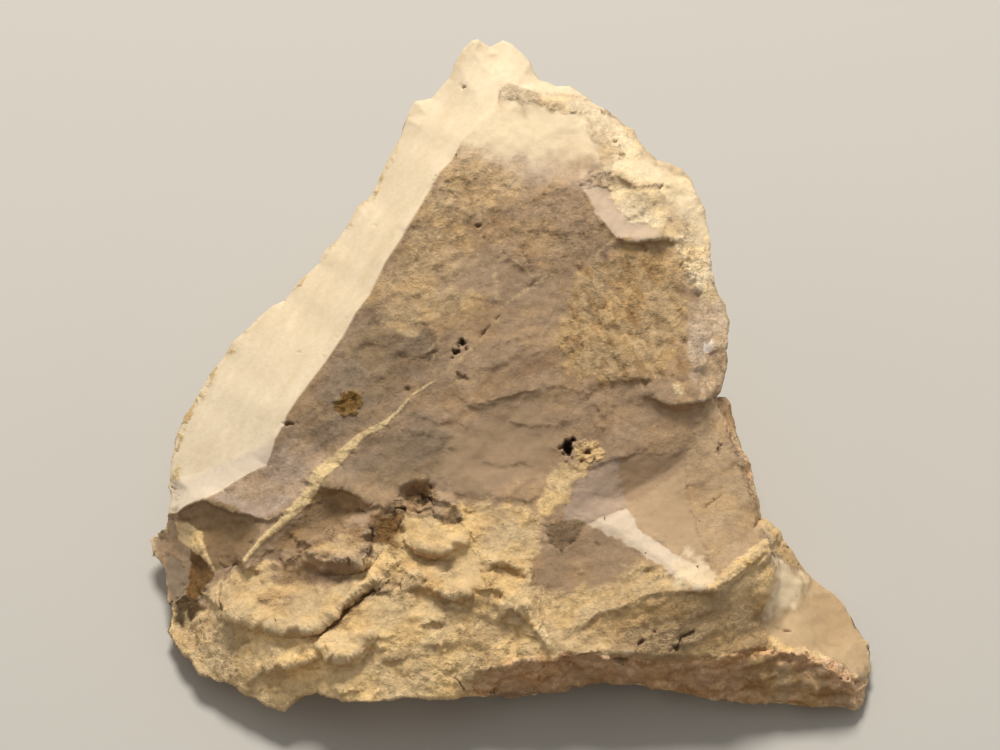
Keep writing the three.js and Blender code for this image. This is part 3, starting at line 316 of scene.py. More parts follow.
# Faces and patches of the front: name, tone, how crumbly from 0 to 1, softness of its edge, outline.
PATCHES = [
    ("cream foot", "pale straw", 0.5, 1.2, [(16, 14.6), (17.6, 14.4), (20.5, 14.4), (21.5, 16),
        (23.2, 17.8), (26.2, 19), (30, 18), (35, 18), (37.2, 20.2), (40, 22), (44, 23.8), (47.5, 24.7),
        (52.2, 24.4), (53.8, 23), (53.1, 19.4), (53.6, 16.6), (56, 14.4), (59.8, 12.6), (61.2, 10.5),
        (60, 9), (54, 8.5), (49, 6), (48, 3.8), (15, 1), (15, 11)]),
    ("beige under the head", "pink beige", 0.2, 3.5, [(42.5, 58.5), (47, 61.2), (60, 61.2), (60.6, 58.5),
        (57.5, 56.4), (50, 56.8), (44, 56.6)]),
    ("cream head of the front", "bright cream", 0.05, 2.8, [(44, 61), (49.8, 65.2), (58.5, 63.8),
        (60.2, 60), (57.5, 59), (52, 59.4), (47, 59.6)]),
    ("umber low left", "umber", 0.25, 3, [(34.5, 28), (38, 31), (42, 33.5), (45.5, 31.5), (44.5, 26.8),
        (40, 25.8), (36, 26.6), (33, 27)]),
    ("umber left", "umber", 0.3, 4, [(29, 32), (32, 36.5), (36, 42.5), (40, 44), (44, 42), (44, 37.5),
        (40, 35.5), (35, 31), (30, 28)]),
    ("ochre bloom up the left", "dun", 0.45, 2.6, [(39.2, 48.8), (42.5, 54.5), (45.5, 59.5), (52, 57.8),
        (53, 55.4), (48.2, 53.6), (46.8, 49.5), (43, 45.8), (37.2, 44.8)]),
    ("pink grey middle", "fawn", 0.4, 2.6, [(50, 55), (58.5, 56.2), (61.2, 51), (56, 48.2), (50.5, 48.8),
        (48.4, 51.8)]),
    ("ochre cheek", "ochre", 0.45, 1.6, [(57.3, 47.5), (60, 49.3), (64, 50.6), (67.4, 48.8), (69, 44.8),
        (68.8, 38.8), (65, 37.2), (60, 36.8), (56.6, 37.8), (55.8, 40.8)]),
    ("side strip", "pink beige", 0.4, 0.5, [(68.8, 44.8), (71.2, 45), (73, 42), (72.7, 38), (71.5, 35.4),
        (69.2, 36.4)]),
    ("cream shoulder", "pale beige", 0.3, 0.5, [(58.3, 63.2), (59, 65), (66, 61), (71.5, 56), (72, 45),
        (73, 42.4), (70.2, 45), (68.2, 48.6), (66.8, 50.7), (63.4, 51), (61.6, 53.6), (61, 57.2),
        (59.8, 59.8)]),
    ("pitted yellow on the shoulder", "bright cream", 0.45, 1, [(59.8, 63.2), (62.2, 63.2), (64, 60.2),
        (62.2, 58.2), (60.4, 60)]),
    ("yellow foot of the shoulder", "bright cream", 0.5, 1, [(66.8, 50.7), (70, 54.5), (71.2, 48.8),
        (71.6, 45), (69.2, 46.8)]),
    ("dark head of the scar", "pink beige", 0.45, 0.25, [(57.8, 56.6), (59.9, 57.9), (61.4, 57.7),
        (60.8, 56), (58.6, 56)]),
    ("pale pink scar", "pink beige", 0.1, 0.2, [(58.2, 56), (60.8, 56.3), (62.6, 53), (65.5, 52.4),
        (66, 51.4), (63, 51), (61.6, 51.2), (59.5, 53.6)]),
    ("shadow under the scar", "dun", 0.5, 0.5, [(63.4, 50.9), (66.8, 50.7), (68.2, 48.8), (69.2, 46),
        (67.6, 47.4), (65.5, 49.8)]),
    ("olive strip under the tip", "pale beige", 0.5, 0.4, [(49.7, 65.5), (50.8, 66.6), (53.9, 65.7),
        (58, 63.6), (57.1, 63.3), (53.9, 64.6), (50.4, 65.1)]),
    ("bowl", "fawn", 0.1, 2, [(44, 29.5), (47, 33.5), (54, 35), (56, 31), (54.5, 28), (50, 25.8), (45, 26)]),
    ("brown plate beside the vein", "lilac grey", 0.3, 0.6, [(21.2, 25.3), (24.5, 28.5), (27.2, 30.3),
        (30, 31), (33.8, 29.2), (30, 25), (26.2, 22.8)]),
    ("left dark facet", "olive brown", 0.2, 0.25, [(18, 23.7), (20.8, 25.2), (23.6, 24.1), (26.4, 22.9),
        (24.3, 18.7), (21.2, 17.8), (19.6, 20.2), (18.5, 22)]),
    ("left cream strip", "straw", 0.3, 0.25, [(17.6, 22.8), (19, 22.4), (20.2, 21.8), (20.8, 19.8),
        (21.3, 17.8), (20.4, 18.8), (19, 20.2), (17.8, 21)]),
    ("left grey facet", "umber", 0.1, 0.25, [(16.5, 19.7), (18, 19), (18.8, 17.4), (18.4, 15.2), (17.2, 15),
        (16.4, 17.2)]),
    ("left brown facet", "rusty brown", 0.4, 0.3, [(19, 20.2), (20.4, 18.7), (21.3, 17.5), (20.7, 15.8),
        (19.2, 14.5), (18.6, 16)]),
    ("left hollow", "bark", 0.5, 0.4, [(17.5, 15), (18.8, 15.4), (20.5, 14.4), (18.4, 12.2), (17.4, 12.8)]),
    ("olive facet under the second lip", "olive brown", 0.3, 0.3, [(31.8, 26.2), (35.2, 26), (36.2, 23.6),
        (33.4, 22.2), (30, 20.2), (26.2, 19.4), (29, 22)]),
    ("cream lump", "fawn", 0.65, 0.4, [(30.4, 20.3), (32.2, 21.7), (34.1, 22.8), (37, 22.2), (37.3, 19.4),
        (35.2, 18.5), (32.5, 18.6)]),
    # Painted highlight: the lump's top is paler, as where the lamp falls on it.
    ("painted highlight on top of the lump", "dun", 0.5, 0.5, [(31.6, 20.2), (32.6, 21), (34, 21.4), (35.4, 20.9),
        (36.6, 20.1), (35.8, 19.3), (33.8, 19.1), (32.2, 19.4)]),
    ("olive seat of the lump", "fawn", 0.4, 0.6, [(27, 18.4), (31.1, 18.4), (35.7, 17.8), (35, 16),
        (31.1, 16.4), (27.2, 17)]),
    ("yellow slab", "sand", 0.35, 0.5, [(22.6, 16.6), (27.2, 17), (32.5, 16), (35.2, 15.8), (34, 13.9),
        (32, 12.1), (27.4, 12), (25, 13), (22.6, 14.4)]),
    ("brown trench", "ochre", 0.6, 0.4, [(33.4, 12.8), (35.2, 14.4), (36.8, 16), (39.2, 17.6), (40.2, 17),
        (38.4, 15.4), (36, 13.4), (34.4, 11.8)]),
    ("right slab", "pale straw", 0.35, 0.5, [(35.2, 13), (38, 15.3), (40.5, 14.4), (43, 15), (44, 13.2),
        (40, 11), (37.2, 11), (35.2, 11.8)]),
    ("bulge", "straw", 0.3, 0.4, [(31.8, 10.5), (33, 11.6), (36, 12), (39.5, 12), (38.8, 10.6), (37, 10),
        (35.8, 9), (34, 8.8), (32.5, 9.4)]),
    ("olive foot of the slab", "straw", 0.5, 0.6, [(25, 12.4), (27.4, 11.6), (31.8, 11.4), (32.4, 9.4),
        (29.2, 8.6), (26.8, 7.8), (23.8, 9.6)]),
    ("hollow under the bulge", "straw", 0.4, 0.5, [(26.8, 7.6), (30, 8.2), (32.5, 8.6), (36.5, 8.8),
        (36.6, 7), (32, 6), (27.5, 5.8)]),
    ("speckled lower left", "sand", 0.65, 1, [(18, 12.5), (21.5, 13.5), (24.5, 12.2), (24.5, 9.5),
        (23.5, 7), (20, 8.5), (17.8, 10.5)]),
    ("brown rough hollow", "fawn", 0.7, 0.4, [(39.2, 25.2), (41, 26.8), (42.5, 27.4), (43.6, 26.4),
        (44, 25), (42, 24), (39.6, 23.8)]),
    ("brown crumbs round the hollow", "dark umber", 0.7, 0.5, [(38.5, 24.5), (40, 23.8), (43.6, 23.8),
        (46, 24), (46.2, 22.2), (43.6, 23), (40.2, 23), (38.4, 23)]),
    ("brown cleft", "rusty brown", 0.7, 0.9, [(36.6, 23.8), (39.4, 23.4), (40.4, 22), (39.8, 20.2),
        (37.6, 20.5), (36.8, 22.2)]),
    ("pale green block", "sand", 0.35, 0.4, [(40.4, 23.4), (43.4, 23.5), (44.6, 21.8), (45.5, 20.2),
        (44.9, 18.2), (42.2, 17.6), (40.4, 20.2)]),
    ("cream middle", "pale straw", 0.2, 0.7, [(44.4, 21.8), (47.4, 21.4), (48.2, 18.4), (48, 16),
        (46.2, 15.2), (44.8, 16.2), (45.2, 18.8)]),
    ("yellow crumbs in the middle", "sand", 0.35, 0.7, [(47.4, 24.5), (50, 24.5), (53.2, 22.6),
        (53.6, 19.4), (52.4, 18.2), (48.8, 18.8), (47.8, 21)]),
    ("yellow shoulder of the pocket", "pale straw", 0.35, 0.6, [(53.8, 24.3), (54.5, 27), (56, 28.6),
        (57.5, 28.8), (59.8, 29), (59, 27.8), (57.2, 26.4), (56.2, 24.2), (54.8, 23), (53.4, 23)]),
    ("pocket", "straw", 0.7, 0.3, [(57.4, 30.4), (58.4, 31), (60, 30.6), (60.4, 29.4), (59.2, 28.6),
        (57.8, 28.8)]),
    ("lilac grey plate", "lilac grey", 0.15, 0.35, [(56.3, 23.8), (58, 26.9), (60, 28.8), (61.8, 29.2),
        (62.2, 26.8), (63.1, 24.6), (60.8, 23.2), (58.6, 22.9), (56.6, 23.3)]),
    ("brown kite facet", "fawn", 0.1, 0.25, [(62, 28.6), (63.6, 29.7), (67.8, 29.7), (68.7, 28.7),
        (65.9, 26.3), (62.8, 24.6), (62, 26.9)]),
    ("beige facet", "light brown", 0.1, 0.25, [(62.8, 24.6), (65.9, 26.3), (68.5, 28.5), (68.7, 25.5),
        (71, 18), (68, 19.2), (65.3, 21.4), (63.1, 22.6)]),
    ("white band", "chalk", 0.1, 0.2, [(58.6, 22.7), (60.6, 23.3), (62.7, 24.1), (63.7, 22.1), (67.2, 19.8),
        (70.9, 18), (71.8, 16.2), (69.5, 15.9), (67, 17.6), (63.6, 20.1), (60.8, 21.5)]),
    ("right plane", "light brown", 0.25, 0.3, [(68.7, 28.7), (68.8, 31), (70, 33.8), (71.8, 35), (72.6, 31),
        (75.2, 26.5), (76.2, 23), (76, 20.2), (71.6, 15.8), (70.8, 19), (69.8, 22), (68.8, 25)]),
    ("orange edge", "peach", 0.5, 0.3, [(71.6, 34.8), (72.8, 35.2), (74.2, 31), (76.8, 23.8), (75.6, 25),
        (74.4, 28), (72.8, 31.8)]),
    ("yellow strip over the tail", "sand", 0.35, 0.3, [(75.8, 23), (77, 23.2), (81.2, 19), (81.2, 17.4),
        (79.5, 18.4), (77, 20.2), (76.8, 21)]),
    ("tail", "dun", 0.1, 0.4, [(77.4, 19), (80, 18.4), (85, 14.8), (87.6, 10), (87, 6.6), (84, 8.8),
        (81.2, 10), (77.8, 10), (75.7, 13.4), (77.2, 16)]),
    ("bright crest of the tail", "straw", 0.5, 0.4, [(75.5, 13.8), (76.4, 11.8), (78.2, 10.4), (81.2, 10.2),
        (83.2, 9), (86.2, 6.8), (85.4, 6), (82, 8.4), (79, 9.4), (76.8, 10.4)]),
    ("big facet", "fawn", 0.2, 0.5, [(53.5, 17), (53.1, 19.4), (56.2, 22.6), (58.6, 22.5), (62, 21),
        (63.6, 19.8), (65, 18), (64, 16), (60, 14.5), (55.6, 14.4)]),
    ("dark grey chip", "dark umber", 0.45, 0.3, [(54.4, 22.4), (56.6, 23.2), (58.4, 22.9), (57.2, 20.6),
        (56.1, 19.9), (54.9, 20.7)]),
    ("yellow foot of the big facet", "sand", 0.45, 0.8, [(54, 16), (60, 16.5), (64, 18.8), (69, 16.2),
        (66, 15), (62, 13.6), (59.8, 12.6), (56, 12.8)]),
    ("cream valley", "sand", 0.4, 0.6, [(52.4, 16.5), (53.6, 16.6), (54.6, 13.8), (58, 12.8), (61.2, 11),
        (61.8, 9.8), (58.6, 9.4), (56, 9.6), (54.6, 11), (53.4, 13.4)]),
    ("brown underside", "ochre", 0.5, 0.4, [(59, 12.5), (62, 13.6), (66, 15), (69.2, 15.8), (71.8, 16),
        (74.5, 18.4), (76.8, 20.5), (77.6, 16.8), (75.8, 13.4), (77.6, 10), (70, 8.2), (63, 8.2),
        (61.2, 10.2)]),
    ("lichen grain", "ochre", 0.7, 0.5, [(63.6, 10), (64.4, 11.6), (66.2, 12.6), (68.4, 12.2), (69.2, 10.8),
        (67.8, 9.6), (65, 9.2)]),
    ("olive block corner", "pale straw", 0.45, 0.4, [(76.8, 20.4), (77.6, 16.8), (75.8, 13.8), (73.5, 14.4),
        (72.2, 15.6), (74.5, 17.2)]),
    ("cream crest of the block", "straw", 0.45, 0.3, [(70, 16.2), (71.6, 15.7), (74.2, 17.3), (76.9, 20.1),
        (76.6, 20.9), (74.8, 19.9), (72.2, 17.7), (70.6, 16.9)]),
    ("brown foot wall", "peach", 0.6, 0.3, [(47.3, 5.4), (47.6, 7), (49.6, 8.2), (52, 9), (56, 9.8),
        (61.2, 9.5), (68, 8.6), (75.2, 10), (77.2, 10), (80.8, 9.6), (83.8, 8.6), (86.8, 6), (86.2, 3.8),
        (70, 5), (60, 6)]),
    ("dark triangle", "sand", 0.5, 0.4, [(50.2, 14.4), (52, 14), (54, 13), (55.2, 10.4), (54, 11),
        (51.4, 12)]),
    ("pale mottled foot", "pale straw", 0.6, 0.8, [(44, 15), (50, 15), (51.2, 12.4), (53, 10), (50, 8.6),
        (47.8, 6.6), (45, 6), (44, 10)]),
    ("crest by the triangle", "straw", 0.4, 0.4, [(52.4, 14.4), (53.2, 14), (54.1, 12.4), (55.2, 10.4),
        (55.8, 9.5), (55, 9.6), (54, 11), (53.1, 12.6)]),
    ("ochre facet of the shoulder", "bright cream", 0.35, 0.4, [(60.9, 56.4), (62, 56.6), (64, 56),
        (65.5, 55.8), (66.2, 54.4), (66.8, 52.4), (65.5, 52.4), (64, 52.6), (62.6, 53), (61.6, 54.4)]),
    ("yellow crumb on the right", "pale beige", 0.6, 0.3, [(67.2, 36.6), (68, 37), (68.7, 36.4),
        (68.4, 35.4), (67.6, 35.4)]),
    # Painted light: the tail head is made paler to undo the shade where it tilts away from the lamp.
    ("tail head", "bright cream", 0.05, 0.9, [(77.2, 19.4), (78.2, 18.9), (80, 18), (80.6, 16),
        (79.6, 14.4), (77.8, 13.8), (76.4, 13.4), (76.8, 15.4), (77.6, 16.8)]),
    ("yellow crumb over the wall", "peach", 0.65, 0.3, [(49.8, 8.6), (50.3, 9), (51.4, 9.1), (52.3, 8.8),
        (51.8, 8.3), (50.6, 8.2)]),
    ("grey slab crumbs", "dun", 0.65, 0.5, [(25.5, 15.2), (26.8, 16), (28.6, 15.8), (30, 15.4),
        (29.6, 14.6), (27.6, 14.4), (25.8, 14.4)]),
    ("white speck", "white", 0.1, 0.1, [(70.4, 40.9), (70.8, 40.6), (71.2, 41.3), (71.4, 40.5),
        (71.1, 39.8), (70.6, 39.7), (70.3, 40.2)]),
    ("cream tip edge", "ivory", 0.3, 0.5, [(52.8, 66.6), (54.5, 66.6), (56.6, 66), (59, 65.1), (61.2, 63.2),
        (59.6, 62.8), (58, 63.7), (56, 64.6), (54, 65.6)]),
    ("cream end of the band", "ivory", 0.15, 1, [(66.8, 19), (68.4, 19.4), (70.6, 19), (71.6, 16.8),
        (70, 15.8), (68, 16.6)]),
    ("ochre bloom beside the pits", "dun", 0.3, 1.2, [(37.6, 44.6), (40, 45.4), (43, 46), (47, 46),
        (48.6, 45), (46.6, 43.6), (44.4, 42.8), (42.4, 41.6), (40.4, 41.6), (38.6, 42.8)]),
    ("bright crown of the shoulder", "bright cream", 0.2, 0.7, [(61.6, 60.4), (64, 59.4), (66.2, 58),
        (69.4, 56.4), (70.8, 53.6), (71.2, 51), (70, 50.4), (69, 52.4), (67.4, 54.4), (65.6, 56.2),
        (63, 57), (61.4, 58.2)]),
    ("dark end of the foot wall", "dun", 0.4, 0.8, [(74.8, 9), (79, 8.6), (82, 7.4), (85, 5.6), (85.6, 4.2),
        (80, 4.6), (74, 5.6)]),
    ("ochre spot", "rusty ochre", 0.7, 0.3, [(33.6, 34.8), (34.1, 35.7), (35.2, 36), (36.1, 35.3),
        (36.1, 34.2), (35.4, 33.4), (34.3, 33.3), (33.6, 34)]),
]
MAIN_COLOUR = "#b49a7f"
MAIN_CRUMB = 0.24
BEVEL_COLOUR = "#ecdabc"
LOW_BEVEL_COLOUR = "#f6e5c8"
BEVEL_FOOT_COLOUR = "#e5d6c2"
BEVEL_CRUMB = 0.06
WORN_COLOUR = "#dcc08f"
WORN_CRUMB = 0.35
VEIN_COLOUR = "#e6cc9c"
VEIN_CRUMB = 0.4
# Painted shade colour inside cracks and pits.
CRACK_AND_PIT_SHADE_COLOUR = "#2b1d10"
# Painted highlight colour for crests that stand out.
CREST_HIGHLIGHT_COLOUR = "#f5e5c6"
RUST_COLOUR = "#a9662c"
CRUST_COLOUR = "#e3cba2"
CRUST_CRUMB = 0.55
STAIN_COLOUR = "#bd9a6b"
# Dusts and streaks, which multiply the colour under them, and the painted shade colour for hollows and ledge
# undersides.
OCHRE_DUST = (1.12, 1.08, 0.97)
UMBER_DUST = (0.9, 0.88, 0.86)
BEVEL_DUST = (1.7, 2.0, 2.5)
STREAK_COLOUR = "#c9b08a"
OCHRE_MOTTLE = "#f0dcb4"
PAINTED_SHADE_COLOUR = "#ad9272"
GRIME_COLOUR = "#86693f"
PORE_COLOUR = "#6b4a26"


def linear(colour):
    """Linear red, green and blue of an sRGB hex colour."""
    parts = [int(colour[i : i + 2], 16) / 255 for i in (1, 3, 5)]
    return [p / 12.92 if p <= 0.04045 else ((p + 0.055) / 1.055) ** 2.4 for p in parts]


def on_sheet(points):
    """u, v and w in mm of points in metres."""
    rel = points * 1000 - np.array([*SHEET_SHIFT, 0])
    w = rel @ np.array(sheet_out)
    shrink = 1 - w / EYE_DISTANCE
    rise = (rel @ np.array(sheet_up) - sheet_rise) / shrink
    return np.stack([SHEET_MIDDLE[0] + rel[:, 0] / shrink, SHEET_MIDDLE[1] + rise, w], axis=1)


def ramp(value, low, high):
    """0 at low, 1 at high and smooth between, either way round."""
    share = np.clip((value - low) / (high - low), 0, 1)
    return share * share * (3 - 2 * share)


def from_line(places, line):
    """Distance from a line on the sheet, its side (left above 0) and the line's third value there."""
    away = np.full(len(places), 1e9)
    side = np.zeros(len(places))
    value = np.zeros(len(places))
    for first, second in zip(line, line[1:]):
        run = np.subtract(second[:2], first[:2])
        rel = places[:, :2] - np.array(first[:2])
        share = np.clip(rel @ run / (run @ run), 0, 1)
        gap = np.hypot(*(rel - share[:, None] * run).T)
        near = gap < away
        away = np.where(near, gap, away)
        side = np.where(near, np.sign(run[0] * rel[:, 1] - run[1] * rel[:, 0]), side)
        if len(first) > 2:
            value = np.where(near, first[2] + share * (second[2] - first[2]), value)
    return away, side, value


def within(places, outline, soft):
    """1 inside an outline on the sheet and 0 outside, fading over soft mm across its edge."""
    u, v = places[:, 0], places[:, 1]
    inside = np.zeros(len(places), bool)
    for (u1, v1), (u2, v2) in zip(outline, outline[1:] + outline[:1]):
        if v1 != v2:
            inside ^= ((v1 > v) != (v2 > v)) & (u < (u2 - u1) * (v - v1) / (v2 - v1) + u1)
    away = from_line(places, outline + outline[:1])[0]
    return ramp(np.where(inside, away, -away), -soft / 2, soft / 2)


def coordinates(mesh):
    """Every vertex's place in metres."""
    found = np.empty(len(mesh.vertices) * 3, np.float32)
    mesh.vertices.foreach_get("co", found)
    return found.reshape(-1, 3).astype(float)


def directions(mesh):
    """Every vertex's normal."""
    found = np.empty(len(mesh.vertices) * 3, np.float32)
    mesh.vertices.foreach_get("normal", found)
    return found.reshape(-1, 3)


def edge_ends(mesh):
    """The two vertices of every edge."""
    found = np.empty(len(mesh.edges) * 2, np.int32)
    mesh.edges.foreach_get("vertices", found)
    return found.reshape(-1, 2)


def facing_eye(mesh):
    """How squarely each vertex faces the eye, from -1 to 1."""
    towards = np.array(eye) / 1000 - coordinates(mesh)
    towards /= np.linalg.norm(towards, axis=1)[:, None]
    return (directions(mesh) * towards).sum(axis=1)


bpy.ops.object.select_all(action="DESELECT")
lump = bpy.data.objects.new("richellite_lump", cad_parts["stone"].data.copy())
bpy.context.collection.objects.link(lump)
bpy.context.view_layer.objects.active = lump
lump.select_set(True)
mesh = lump.data
mesh.materials.clear()

bpy.ops.object.mode_set(mode="EDIT")
bpy.ops.mesh.select_all(action="SELECT")
bpy.ops.mesh.remove_doubles(threshold=1e-5)
bpy.ops.object.mode_set(mode="OBJECT")

# The crests between the broken faces, which keep their edge.
crests = lump.vertex_groups.new(name="crests")
shaped = bmesh.new()
shaped.from_mesh(mesh)
sharp = [edge for edge in shaped.edges if edge.calc_face_angle(0) > CREST_ANGLE]
crests.add(sorted({vertex.index for edge in sharp for vertex in edge.verts}), 1, "REPLACE")
shaped.free()


def split(chosen):
    """Cuts the chosen edges in half and keeps the mesh in triangles."""
    bpy.ops.object.mode_set(mode="EDIT")
    bpy.ops.mesh.select_mode(type="EDGE")
    bpy.ops.mesh.select_all(action="DESELECT")
    bpy.ops.object.mode_set(mode="OBJECT")
    mesh.edges.foreach_set("select", chosen)
    bpy.ops.object.mode_set(mode="EDIT")
    bpy.ops.mesh.subdivide(number_cuts=1)
    bpy.ops.mesh.select_all(action="SELECT")
    bpy.ops.mesh.quads_convert_to_tris()
    bpy.ops.object.mode_set(mode="OBJECT")


split(np.ones(len(mesh.edges), bool))
split((facing_eye(mesh) > SPLIT_FACING)[edge_ends(mesh)].all(axis=1))

# The open faces are eased between them, less on the rough foot.
eased = lump.vertex_groups.new(name="eased")
foot = within(on_sheet(coordinates(mesh)), FOOT, 3.0)
for vertex in mesh.vertices:
    held = sum(group.weight for group in vertex.groups if group.group == crests.index)
    eased.add([vertex.index], (1 - held) * (1 - 0.7 * foot[vertex.index]), "REPLACE")
easing = lump.modifiers.new("easing", "SMOOTH")
easing.factor = 0.6
easing.iterations = EASING_PASSES
easing.vertex_group = "eased"
bpy.ops.object.modifier_apply(modifier="easing")

# The mesh is finer on the rough foot, and finest along cracks, the vein, flake edges and pits.
lines = [crack[2] for crack in CRACKS] + [flake[2] for flake in FLAKES] + [BEVEL_CREST]
lines += [patch[4] + patch[4][:1] for patch in PATCHES if patch[3] < 0.4]
for _ in range(SPLITTING_PASSES):
    found = coordinates(mesh)
    places = on_sheet(found)
    gap = np.min([from_line(places, line)[0] for line in lines], axis=0)
    vein_away, _, vein_width = from_line(places, VEIN)
    gap = np.minimum(gap, np.abs(vein_away - vein_width / 2))
    for u, v, half_u, half_v, depth in PITS:
        rim = np.hypot((places[:, 0] - u) / half_u, (places[:, 1] - v) / half_v) - 1
        gap = np.minimum(gap, np.maximum(rim, 0) * min(half_u, half_v))
    wanted = np.where(within(places, FOOT, 1.0) > 0.5, FOOT_EDGE, PLAIN_EDGE)
    wanted = np.minimum(wanted, np.maximum(LINE_EDGE, gap * 0.9))
    wanted = np.where(facing_eye(mesh) > 0, wanted, PLAIN_EDGE)
    ends = edge_ends(mesh)
    lengths = np.linalg.norm(found[ends[:, 0]] - found[ends[:, 1]], axis=1) * 1000
    split(lengths > wanted[ends].max(axis=1))

# Unseeded, this noise would differ in each run.
noise.seed_set(NOISE_SEED)
points = coordinates(mesh)
places = on_sheet(points)
flat = places[:, :2]
above_floor = points[:, 2] * 1000
towards_eye = facing_eye(mesh)
front = ramp(towards_eye, *FRONT_FACING)
behind = 1 - front
rear = ramp(towards_eye, *REAR_FACING)


def turned(turn):
    """Distance along and across a direction on the sheet, in mm."""
    c, s = math.cos(math.radians(turn)), math.sin(math.radians(turn))
    return places[:, 0] * c + places[:, 1] * s, places[:, 1] * c - places[:, 0] * s


def fractal(spots, falloff, step, octaves):
    """Layered noise at each spot."""
    basis = {"noise_basis": "PERLIN_ORIGINAL"}
    return np.array([noise.fractal(spot, falloff, step, octaves, **basis) for spot in spots])


def wavy(across, along, turn, seed, octaves=3):
    """Bumps between about -1 and 1 that are drawn out to length along, turned by turn degrees."""
    u, v = turned(turn)
    spots = np.stack([u / along, v / across, places[:, 2] / along + seed], axis=1)
    return fractal(spots, 0.8, 2.1, octaves)


def laid_over(colour, share, shade):
    """The colours with a shade laid over them by a share."""
    return colour + share[:, None] * (np.array(linear(shade)) - colour)


def dusted(colour, share, dust):
    """The colours multiplied by a dust's red, green and blue by a share."""
    return colour * (1 + share[:, None] * (np.array(dust) - 1))


# How crumbly each place is, and its colour: the patches, and dust in the crumbly ones.
colour = np.tile(linear(MAIN_COLOUR), (len(points), 1))
crumbly = np.full(len(points), MAIN_CRUMB)
wobble = np.stack([wavy(1.6, 1.6, 0, seed) for seed in (81, 83)], axis=1)
for name, tone, grain, soft, outline in PATCHES:
    share = within(flat + wobble * min(soft, 1.0) * 1.2, outline, soft)
    colour = laid_over(colour, share, TONES[tone])
    crumbly += share * (grain - crumbly)
    if name == "brown foot wall":
        wall = share
loose = ramp(crumbly, 0.08, 0.3)
colour = dusted(colour, loose * ramp(wavy(3.0, 5.0, 30, 87, 5), -0.02, 0.3), OCHRE_DUST)
colour = dusted(colour, loose * ramp(wavy(2.6, 4.2, 25, 89, 5), 0.0, 0.32), UMBER_DUST)

# The bevel, brighter low down, with a worn edge on its left and a greyer foot.
bevel = within(places, BEVEL, 0.12)
colour = laid_over(colour, bevel, BEVEL_COLOUR)
crumbly += bevel * (BEVEL_CRUMB - crumbly)
colour = laid_over(colour, bevel * ramp(places[:, 1], *BEVEL_BRIGHTENS), LOW_BEVEL_COLOUR)
colour = dusted(colour, 0.07 * bevel * wavy(0.9, 4.0, 58, 111, 4), BEVEL_DUST)
worn = bevel * within(flat + wobble * 0.6, BEVEL_EDGE, 0.5) * ramp(wavy(0.8, 1.5, 58, 115, 4), -0.15, 0.35)
colour = laid_over(colour, worn, WORN_COLOUR)
crumbly += worn * (WORN_CRUMB - crumbly)
colour = laid_over(colour, bevel * within(places, BEVEL_FOOT, 0.5), BEVEL_FOOT_COLOUR)

# Rust along the bottom edge, and the stained crust of the back.
rust = 0.3 * (1 - ramp(above_floor, *RUST_FADE)) * ramp(wavy(1.0, 2.0, 0, 93, 2), -0.5, 0.2)
colour = laid_over(colour, rust, RUST_COLOUR)
crust = np.tile(linear(CRUST_COLOUR), (len(points), 1))
crust = laid_over(crust, ramp(wavy(7.0, 7.0, 0, 97, 4), -0.3, 0.35), STAIN_COLOUR)
colour += behind[:, None] * (crust - colour)
crumbly += behind * (CRUST_CRUMB - crumbly)

# Dark streaks along the foot wall and down the cheek.
foot = within(places, FOOT, 3.0)
cheek = within(places, CHEEK, 2.0)
colour = dusted(colour, 0.6 * wall * ramp(wavy(0.9, 2.4, 6, 99, 5), -0.05, 0.45), linear(STREAK_COLOUR))
colour = dusted(colour, 0.5 * cheek * ramp(wavy(0.6, 2.6, -58, 101, 5), -0.05, 0.5), linear(STREAK_COLOUR))


def ledges(spacing, turn, seed):
    """Flaky ledges, about 0: each rises gently down the sheet and ends in a sudden lip."""
    down = turned(turn)[1] / spacing + 1.5 * wavy(spacing * 1.6, spacing * 2.6, turn, seed)
    return 0.6 - down % 1


def chips(long, wide, turn, seed, lean):
    """Broken chips, about -0.5 to 0.5: every cell has a tilt of its own and leans out down the sheet."""
    u, v = turned(turn)
    heights = []
    for spot in np.stack([u / long, v / wide, places[:, 2] / long + seed], axis=1):
        spot = Vector(spot)
        spot += 0.4 * noise.noise_vector(spot * 1.6)
        middle = noise.voronoi(spot)[1][0]
        tilt = noise.cell_vector(middle * 53) - Vector((0.5, 0.5, 0.5))
        offset = spot - middle
        heights.append(1.2 * offset.dot(tilt) - lean * offset.y + 0.5 * tilt.z)
    return np.array(heights)


def relief_of(rows, shape, stretches):
    """Height in mm of the rows whose stretch of stone is named, each row drawn by shape."""
    height = np.zeros(len(points))
    for stretch, least, added, *sizes in rows:
        if stretch in stretches:
            height += stretches[stretch] * (least + added * crumbly) * shape(*sizes)
    return height


# How far the surface stands out, in mm: waves, ledges and chips, all faint on the bevel.
stretches = {
    "all": 1.0,
    "wall": wall,
    "foot": foot,
    "fading foot": foot * ramp(wavy(6, 8, 0, 40, 1), -0.3, 0.3),
    "cheek": cheek,
    "off the bevel": 1 - bevel,
    "plain": (1 - foot) * (1 - cheek) * (1 - bevel),
}
shift = relief_of(WAVES, wavy, stretches)
shift += relief_of(LEDGES, ledges, stretches)
shift += relief_of(CHIPS, chips, stretches)
shift *= 1 - 0.85 * bevel
shift *= 1 - 0.7 * (1 - ramp(from_line(places, BEVEL_CREST)[0], 0.1, 0.8))
# Sunken places, which get painted shade further on.
painted_shade = ramp(shift, 0.05, -0.25)
